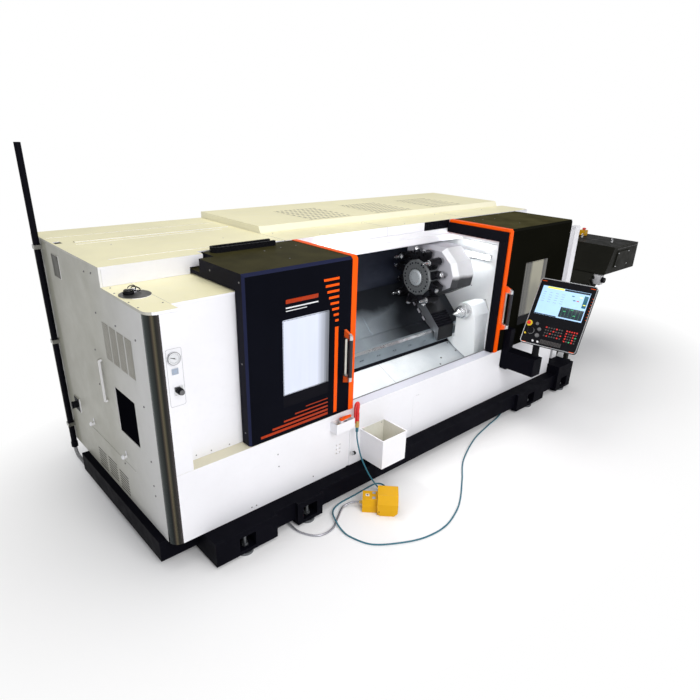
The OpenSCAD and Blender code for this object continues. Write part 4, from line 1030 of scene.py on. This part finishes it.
def dress_air_supply():
    """Air valve with the tray over it, the blow gun's fittings and the rest for its hose."""
    valve_y, valve_z = -43, 600
    turned_part("valve_nipple", "moulded_black", (1216, valve_y, valve_z), to_right,
                [(6, 13), (10, 14.5), (22, 14.5), (26, 12.4), (34, 12.4)])
    Shape().bar((1247, valve_y, valve_z), (1300, valve_y, valve_z), 19.8, sides=6, soft=1.2).piece(
        "valve_body", "brass")
    turned_part("valve_coupling", "moulded_black", (1316, valve_y, valve_z), to_right,
                [(0, 18), (3, 20.6), (20, 20.6), (25, 17)])
    Shape().bar((1285, valve_y, 656.8), (1285, valve_y, 661), 6.5, sides=6, soft=0.8).piece(
        "lever_nut", "polished_steel", "valve")
    slabs("tray_rim", "panel_white", [((1219.6, -70.6, 628), (1387.4, -69.6, 634)),
                                      ((1218.4, -70, 628), (1219.4, 0, 634)),
                                      ((1387.6, -70, 628), (1388.6, 0, 634))])
    gun_x, gun_y = hose_points[0][:2]
    turned_part("gun_hose_sleeve", "hose_blue", (gun_x, gun_y, 498), upward,
                [(0, 8.4), (4, 10.6), (40, 11.6), (44, 10)])
    turned_part("gun_connector", "brass", (gun_x, gun_y, 538), upward,
                [(0, 11), (2, 14.6), (18, 14.6), (20, 13.6), (26, 13.6), (28, 15), (50, 15), (53, 14)])
    put_ring("gun_grip_ribs", "signal_red", [(gun_x, gun_y, z) for z in (608, 622, 636, 650)], upward, 18,
             13.4, (1.6, 2.2, 9))
    rest = Shape().turned_form((1411, -24, 304), to_right, [(0, 8), (2, 13), (12, 13), (14, 9), (20, 9)])
    rest.block((1413, -24, 298), (1421, -0.1, 310), 1).piece("hose_rest", "polished_steel")
    turned_part("hose_rest_nut", "moulded_black", (1430, -24, 304), to_right,
                [(0, 9.5), (2, 14), (13, 14), (15, 11)])


def dress_chamber():
    """Bed rail, chip pan, wall screws, lamp and tailstock sleeve in the work chamber."""
    rail = [(530.6, 772.4), (548.4, 790.5), (547.4, 791.4), (529.2, 772.9)]
    Shape().plate(rail, 894, 3398, "x").piece("rail_edge", "polished_steel")
    slab("rail_gap", "seal_rubber", (894, 529.4, 632), (3398, 529.9, 664), 0.1)
    pan_foot, pan_rise, pan_depth = Vector((127, 454)), 186, 426
    slope = math.atan2(pan_rise, pan_depth)
    seats = [(3145, 512), (3146, 405), (3153, 297), (2906, 387), (2830, 329), (3340, 500), (3340, 240)]
    put_screws("pan_bolts", [(x, y, pan_foot.y + (y - pan_foot.x) * pan_rise / pan_depth) for x, y in seats],
               (0, -math.sin(slope), math.cos(slope)), 9, 4)
    seams = Shape()
    for x in (1420, 2215):
        seams.plate([(130, 455.6), (550, 639), (550, 640), (130, 456.6)], x, x + 3, "x")
    seams.piece("pan_seams", "seam_grey")
    wall_places = [(491, 1161), (317, 1060), (388, 760), (620, 1380)]
    put_screws("wall_screws", [(3400.5, y, z) for y, z in wall_places], to_left, 6)
    turned_part("lamp_tube", "lamp_white", (3360, 309, 1462), to_back,
                [(0, 12), (2, 14.5), (345, 14.5), (347, 12)])
    turned_part("tailstock_sleeve", "polished_steel", (3089.8, 350, 990), to_right,
                [(0, 57.6), (4.2, 62.4), (46, 62.4), (50, 57.5), (56, 57.5), (58.4, 65.4), (72, 65.4)],
                "tailstock")


def dress_tools():
    """Cutting tools of three kinds, in turn round the turret's stations."""
    tools = Shape()
    for station in range(stations):
        turned = Matrix.Rotation(math.radians(station_angle(station)), 4, "X")
        tool = Shape(Matrix.Translation(turret_middle) @ turned)
        kind = station % 3
        if kind == 0:
            tool.block((-12.5, -13.5, 246), (14.4, 13.5, 266.3), 1.5)
            tool.plate([(-14.5, 252), (2, 264), (-8, 272), (-18, 266)], -14, -6.6)
        if kind == 1:
            tool.turned_form((-118.4, 0, 236), to_right,
                             [(0, 9), (3, 13.5), (70, 13.5), (71, 20.6), (75, 24.6), (84, 24.6)])
        if kind == 2:
            tool.turned_form((56, 0, 246), upward,
                             [(0, 22.6), (10.4, 22.6), (14.4, 16.4), (14.6, 6.5), (23.4, 6.5), (26.3, 1)])
        tools.join(tool)
    tools.piece("cutting_tools", "polished_steel", "turret")


def dress_turret():
    """Hub and bolts on the turret's disc, painted shade in its holes, and the screws of its housing."""
    turned_part("turret_hub_face", "hub_steel", turret_middle, to_left,
                [(7, 72.4), (8.4, 72.2), (14.3, 60.3), (14.4, 34.4), (12.6, 34), (12.5, 10)], "turret")
    for name, finish, depth, count, radius, size in (
            ("hub_inner_bolts", "disc_steel", 14.4, 12, 46, (6, 6, 1.6)),
            ("hub_outer_bolts", "tool_black", 0.4, 24, 84, (7, 7, 2))):
        seed = tuple(turret_middle - Vector((depth, 0, 0)))
        put_ring(name, finish, [seed], to_left, count, radius, size, "turret")
    # Flat black discs over the disc's holes: painted shade in them
    hole_circle, half_pair = 132, 9
    holes = Shape()
    for station in range(stations):
        for beside in (-half_pair, half_pair):
            a = math.radians(station_angle(station) + beside)
            at = turret_middle + Vector((0, -math.sin(a), math.cos(a))) * hole_circle
            holes.turned_form(at, to_left, [(0.05, 8), (0.5, 8)], 20)
    holes.piece("disc_hole_shade", "seal_rubber", "turret")
    places = [(500, 1440), (430, 1330), (600, 1480), (820, 1480), (560, 1165)]
    put_screws("housing_screws", [(2898, y, z) for y, z in places], to_left, 8, 3, body="cross_slide")


def dress_saddle():
    """Bellows ribs on the saddle's front and wipers along its left edge."""
    ribs = Shape()
    for k in range(6):
        y = 476 + 18 * k
        profile = [(y, y + 361.4), (y + 13, y + 374.4), (y + 8, y + 381), (y - 3, y + 370)]
        ribs.plate(profile, 2931, 3149, "x", 1.5)
    ribs.piece("slide_bellows", "seal_rubber", "saddle")
    wipers = Shape()
    for k in range(4):
        y, z = 647.5 + 60 * k, 884.5 + 60 * k
        profile = [(y - 7.8, z - 23), (y + 23, z + 7.8), (y + 7.8, z + 23), (y - 23, z - 7.8)]
        wipers.plate(profile, 2913 - 6 * k, 2930, "x", 1)
    wipers.piece("saddle_wipers", "housing_grey", "saddle")


def panel_shape():
    """Shape in the panel's own frame: millimetres from its lower left corner, Z out of its face."""
    start = panel_centre - panel_across * panel_size.x / 2 - panel_up * panel_size.y / 2
    turned = Matrix((panel_across, panel_up, panel_out)).transposed().to_4x4()
    return Shape(Matrix.Translation(start) @ turned)


def at_panel(u, v):
    """Millimetres from fractions of the panel's width and height."""
    return u * panel_size.x, v * panel_size.y


def panel_blocks(name, finish, spots, size, low, high, soft=0.4):
    """Small blocks on the panel, each at a fraction of its width and height."""
    made = panel_shape()
    for u, v in spots:
        x, y = at_panel(u, v)
        made.block((x, y, low), (x + size[0], y + size[1], high), soft)
    return made.piece(name, finish, "panel")


def dress_screen():
    """Bezel of the screen, and the plain fields, marks and lines on it."""
    x0, y0 = at_panel(0.08, 0.455)
    x1, y1 = at_panel(0.917, 0.893)
    panel_shape().rim(round_outline((x0 - 9, y0 - 9), (x1 + 9, y1 + 9), 8),
                      round_outline((x0, y0), (x1, y1), 2), 0, 1.6, "z").piece(
        "screen_bezel", "moulded_black", "panel")
    fields = [("screen_head", "screen_dark", (0.47, 0.862), (0.908, 0.888)),
              ("screen_title", "screen_yellow", (0.165, 0.862), (0.46, 0.888)),
              ("screen_column", "hose_blue", (0.83, 0.66), (0.9, 0.84)),
              ("screen_graph", "screen_dark", (0.5, 0.475), (0.9, 0.625)),
              ("screen_foot", "screen_dark", (0.084, 0.458), (0.47, 0.472))]
    for name, finish, low, high in fields:
        field = panel_shape().block((*at_panel(*low), -1.6), (*at_panel(*high), -1.1), 0.1)
        field.piece(name, finish, "panel")
    marks = {"screen_yellow": [(0.76, 0.80), (0.845, 0.70)],
             "key_red": [(0.72, 0.74)],
             "hose_blue": [(0.62, 0.80), (0.66, 0.74)],
             "key_green": [(0.56, 0.56), (0.68, 0.6), (0.74, 0.52)]}
    for finish, spots in marks.items():
        panel_blocks("screen_marks_" + finish, finish, spots, (22, 8), -1.2, -0.8, 0.1)
    rows = [(0.12 + 0.11 * c, 0.66 + 0.035 * r) for r in range(5) for c in range(4)]
    panel_blocks("screen_rows", "cap_grey", rows, (26, 2), -1.6, -1.1, 0.05)
    lines = [(0.54 + 0.06 * c, 0.48) for c in range(6)]
    panel_blocks("screen_graph_lines", "key_green", lines, (1, 88), -1.15, -0.95, 0.05)


def dress_keys():
    """Two key fields and the keyboard below them."""
    right = [(0.73 + c * 0.042, 0.13 + r * 0.038) for r in range(5) for c in range(5)]
    left = [(0.37 + c * 0.046, 0.15 + r * 0.042) for r in range(4) for c in range(7)]
    green = [right[2], right[14]]
    red = [k for n, k in enumerate(right) if n % 5 in (0, 3) or n > 20]
    red += [k for n, k in enumerate(left) if n % 4 == 1]
    red = [k for k in red if k not in green]
    grey = [k for k in right + left if k not in red + green]
    inset = 1 / panel_size.x
    for name, finish, keys in (("red_keys", "key_red", red), ("green_keys", "key_green", green),
                               ("grey_keys", "key_grey", grey)):
        panel_blocks(name, finish, [(u + inset, v + inset) for u, v in keys], (13, 12), 3.6, 5.4, 0.8)
    board = [(0.356 + c * 0.0265, 0.037 + r * 0.0155) for r in range(4) for c in range(14)]
    panel_blocks("board_keys", "key_grey", board, (10.5, 7.5), 4.8, 6.6, 0.6)


def dress_knobs():
    """Dials, buttons, and the rings round the stop button and the handwheel."""
    knobs = [("dial_a", "cap_grey", 0.21, 0.308, 14), ("dial_b", "cap_grey", 0.275, 0.233, 16),
             ("dial_c", "cap_grey", 0.271, 0.14, 18), ("lamp_button", "key_yellow", 0.051, 0.141, 8),
             ("start_button", "key_white", 0.228, 0.052, 9), ("hold_button", "key_white", 0.318, 0.051, 9)]
    for name, finish, u, v, r in knobs:
        x, y = at_panel(u, v)
        profile = [(0, r + 0.6), (11, r - 0.6), (14.4, r - 1.6), (15, r - 4)]
        knob = panel_shape().turned_form((x, y, 0), upward, profile)
        if name.startswith("dial"):
            knob.block((x - 1.4, y, 14.6), (x + 1.4, y + r - 2, 16.4), 0.4)
        knob.piece(name, finish, "panel")
    x, y = at_panel(0.066, 0.298)
    panel_shape().turned_form((x, y, 0), upward, [(0, 27), (3, 27), (4.5, 25)]).piece(
        "stop_ring", "key_yellow", "panel")
    x, y = at_panel(0.135, 0.192)
    outer, inner = [round_outline((x - r, y - r), (x + r, y + r), r - 0.1, 10) for r in (30, 25)]
    panel_shape().rim(outer, inner, 0, 1.4, "z").piece("handwheel_scale", "seam_grey", "panel")


def dress_panel():
    """Control panel: bright edge, screen, keys, knobs and orange ticks."""
    w, h = panel_size
    panel_shape().rim(round_outline((0.6, 0.6), (w - 0.6, h - 0.6), 27.5),
                      round_outline((7, 7), (w - 7, h - 7), 22), -3, 1.2, "z").piece(
        "panel_edge", "polished_steel", "panel")
    dress_screen()
    dress_keys()
    dress_knobs()
    ticks = panel_shape()
    spots = [((u, v), (44, 4)) for u, v in ((0.03, 0.955), (0.88, 0.955), (0.03, 0.012), (0.88, 0.012))]
    spots += [((0.962, 0.5 + 0.045 * k), (9, 4)) for k in range(8)]
    for place, (wide, high) in spots:
        x, y = at_panel(*place)
        ticks.block((x, y, 0), (x + wide, y + high, 1.2), 0.3)
    ticks.piece("panel_ticks", "trim_orange", "panel")


def dress_foot_switch():
    """Plates and cable gland of the foot switch, in its own turned frame."""
    place = Matrix.Translation((1324, -248, 0)) @ Matrix.Rotation(math.radians(-45), 4, "Z")
    plates = Shape(place)
    for y in (30, -30):
        plates.block((70, y - 12, 103.8), (94, y + 12, 105.4), 0.6)
    plates.piece("switch_plates", "plate_blue")
    Shape(place).block((22, -13, 103.8), (48, 13, 105.4), 0.6).piece("switch_sign", "key_white")
    Shape(place).turned_form((35, 0, 105), upward, [(0, 7), (0.7, 6.6)]).piece("switch_dot", "moulded_black")
    gland = [(0, 9), (2, 11), (10, 11), (12, 13), (22.5, 13)]
    Shape(place).turned_form((-23, 0, 40), to_right, gland).piece("switch_gland", "brass")


def dress_conveyor():
    """Stop box, seams, screws, drive and the lifting eyes' collars on the chip conveyor."""
    box_edge = round_outline((5954.4, 689.4), (6030.6, 765.6), 5, 8)
    bore = round_outline((5982.3, 717.3), (6001.7, 736.7), 9.69, 8)
    Shape().rim(box_edge, bore, 1350.2, 1410.6, "z").piece("stop_box", "switch_yellow")
    slabs("hood_seams", "cap_grey", [((5524, 480, 1350), (6132, 483, 1350.6)),
                                     ((5600, 96.3, 1320), (6132, 97, 1323))])
    places = [(5592, 1130), (5885, 1130), (5885, 1275), (5630, 1275)]
    put_screws("hood_screws", [(x, 85, z) for x, z in places], to_front, 6, 2, "polished_steel")
    slab("drive_cover", "cable_grey", (5379.4, 129.4, 928.9), (5460.6, 221.6, 1040.1), 4)
    turned_part("drive_knob", "moulded_black", (5420, 131, 984.5), to_front,
                [(0, 33), (6, 33), (8, 30.7), (32, 30.7), (35.6, 28)])
    for name, y in (("eye_collar_a", 284), ("eye_collar_b", 659)):
        turned_part(name, "polished_steel", (5833, y, 1350), upward, [(0, 15), (3, 15), (9, 12), (10, 8)])


def dress_roof():
    """Perforated fields, ridges, seams and screws of the roof; chain pocket; sheet behind the left door."""
    wide, deep = 452, 548
    fields = [(1340 + 762.5 * g, 1312) for g in (1, 2, 3)]
    slabs("hood_vent_backing", "vent_shade",
          [((x - wide / 2, y - deep / 2, hood_top + 0.05), (x + wide / 2, y + deep / 2, hood_top + 0.5))
           for x, y in fields])
    perforation.piece("hood_vents", "machine", [(x, y, hood_top + 1) for x, y in fields], "roof_mesh",
                      Width=wide * MM, Height=deep * MM, Columns=11, Rows=8, Open=0.5, Axis=upward)
    ridges = Shape().block((130, 1360, roof_top + 0.05), (1290, 1400, roof_top + 5), 2)
    ridges.block((20, 1600, roof_top + 0.05), (1290, 1608, roof_top + 2), 0.8)
    ridges.piece("roof_ridges", "roof_paint")
    # Dark sheet in the roof slot: painted shade
    slab("roof_slot", "opening_shade", (16, 1381, 1770.1), (59, 1449, 1770.8), 0.2)
    pocket = Shape().block((2845, 661, 1703), (3180, 667.6, 1774.4), 0.5)
    for k in range(13):
        pocket.block((2852 + 25 * k, 656, 1707), (2864 + 25 * k, 662, 1770), 1)
    pocket.piece("chain_pocket", "seal_rubber")
    slab("door_gap_sheet", "panel_white", (545, 690, 1655), (892.6, 693, 1701.6))
    slabs("roof_seams", "seam_grey", [((1339.2, 696, roof_top - 0.1), (1340.8, 984, roof_top + 0.6)),
                                      ((2380, 669, roof_top), (2382, 984, roof_top + 0.7)),
                                      ((3420, 669, roof_top), (3422, 984, roof_top + 0.7)),
                                      ((2380, 667.2, 1702), (2382, 668, roof_top))])
    places = [(300, 1180), (1020, 980), (1420, 940), (1700, 720), (2340, 940), (2640, 720), (3300, 940),
              (4000, 900)]
    put_screws("roof_screws", [(x, y, roof_top) for x, y in places], upward, 5, 1.6, "seam_grey")


def dress_rear():
    """Screws beside the joints of the rear doors."""
    door_width, beside = 898, 30
    seeds = [(door_width * i + dx, 1881.6, z) for i in range(1, 5) for dx in (-beside, beside)
             for z in (320, 980, 1640)]
    put_screws("rear_screws", seeds, to_back, 7, 0.8)


def dress_conduit():
    """Ribbed flexible tail of the supply pipe: a quarter turn at its foot, then a level run."""
    rib = (12.4, 2.2, 24, 6)
    bend, x = 70, -26
    tail = Shape()
    for k in range(16):
        a = math.radians(6 * k)
        across = (0, -math.sin(a), -math.cos(a))
        tail.ring((x, 1602 + bend * math.cos(a), 132 - bend * math.sin(a)), across, *rib)
    for k in range(21):
        tail.ring((x, 1595 - 8 * k, 62), to_back, *rib)
    tail.piece("pipe_tail_ribs", "cable_grey")


for dress in (dress_left_side, dress_service_strip, dress_step, dress_doors, dress_front_panel,
              dress_air_supply, dress_chamber, dress_tools, dress_turret, dress_saddle, dress_panel,
              dress_foot_switch, dress_conveyor, dress_roof, dress_rear, dress_conduit):
    dress()


# Stage and light
def make_stage():
    """Oval field of white floor that fades into plain white, and a white dome of light."""
    paper = Finish("floor_white", (0.92, 0.92, 0.92), 0.9)
    glow = paper.add("ShaderNodeEmission", Color=(1, 1, 1, 1), Strength=1.0).outputs[0]
    oval, fade_start, fade_end, reach = (0.31, 0.62, 1), 0.95, 1.5, 40.0
    mapped = paper.add("ShaderNodeMapping", Vector=paper.place, Scale=oval).outputs[0]
    away = paper.add("ShaderNodeVectorMath", operation="LENGTH", i0=mapped).outputs["Value"]
    rays = paper.add("ShaderNodeLightPath").outputs
    looked = paper.math("MAXIMUM", rays["Is Camera Ray"], rays["Is Glossy Ray"])
    far = paper.times(paper.band(away, fade_start, fade_end), looked)
    both = paper.add("ShaderNodeMixShader", i0=far, i1=paper.shader.outputs[0], i2=glow).outputs[0]
    paper.tree.links.new(both, paper.tree.nodes["Material Output"].inputs["Surface"])
    data = bpy.data.meshes.new("floor")
    data.from_pydata([(-reach, -reach, 0), (reach, -reach, 0), (reach, reach, 0), (-reach, reach, 0)], [],
                     [(0, 1, 2, 3)])
    data.materials.append(paper.material)
    floor = put("floor", data)

    world = bpy.data.worlds.new("studio")
    world.use_nodes = True
    sky = Nodes()
    sky.tree = world.node_tree
    dome = sky.add("ShaderNodeBackground", Color=(0.96, 0.97, 1.0, 1), Strength=0.45).outputs[0]
    seen = sky.add("ShaderNodeBackground", Color=(1, 1, 1, 1), Strength=1.0).outputs[0]
    rays = sky.add("ShaderNodeLightPath").outputs
    direct = sky.math("MAXIMUM", rays["Is Camera Ray"], rays["Is Transmission Ray"])
    both = sky.add("ShaderNodeMixShader", i0=direct, i1=dome, i2=seen).outputs[0]
    sky.tree.links.new(both, sky.tree.nodes["World Output"].inputs["Surface"])
    bpy.context.scene.world = world


def soft_light(name, place, aim, size, power, colour=(1, 1, 1), seen=True):
    """Rectangular lamp of that size in metres and power in watts, turned to its aim."""
    data = bpy.data.lights.new(name, "AREA")
    data.shape = "RECTANGLE"
    data.size, data.size_y = size
    data.energy = power
    data.color = colour
    lamp = put(name, data)
    run = Vector(aim) - Vector(place)
    lamp.matrix_world = Matrix.Translation(place) @ run.to_track_quat("-Z", "Y").to_matrix().to_4x4()
    lamp.visible_camera = seen


make_stage()
soft_light("key", (-2.5, -6.5, 4.5), (0, -0.3, 0.8), (5, 4), 320, (1.0, 0.99, 1.0))
soft_light("top", (-0.5, 0.5, 8.0), (0, 0.3, 0), (7, 5), 215, (1.0, 0.98, 0.94))
soft_light("side", (-8.0, -1.0, 3.5), (-2.5, 0, 0.8), (4, 4), 20)
soft_light("chamber", spot(1500, 420, 1580), spot(3300, 350, 700), (0.4, 0.3), 10, seen=False)
bpy.context.scene.view_settings.view_transform = "Standard"
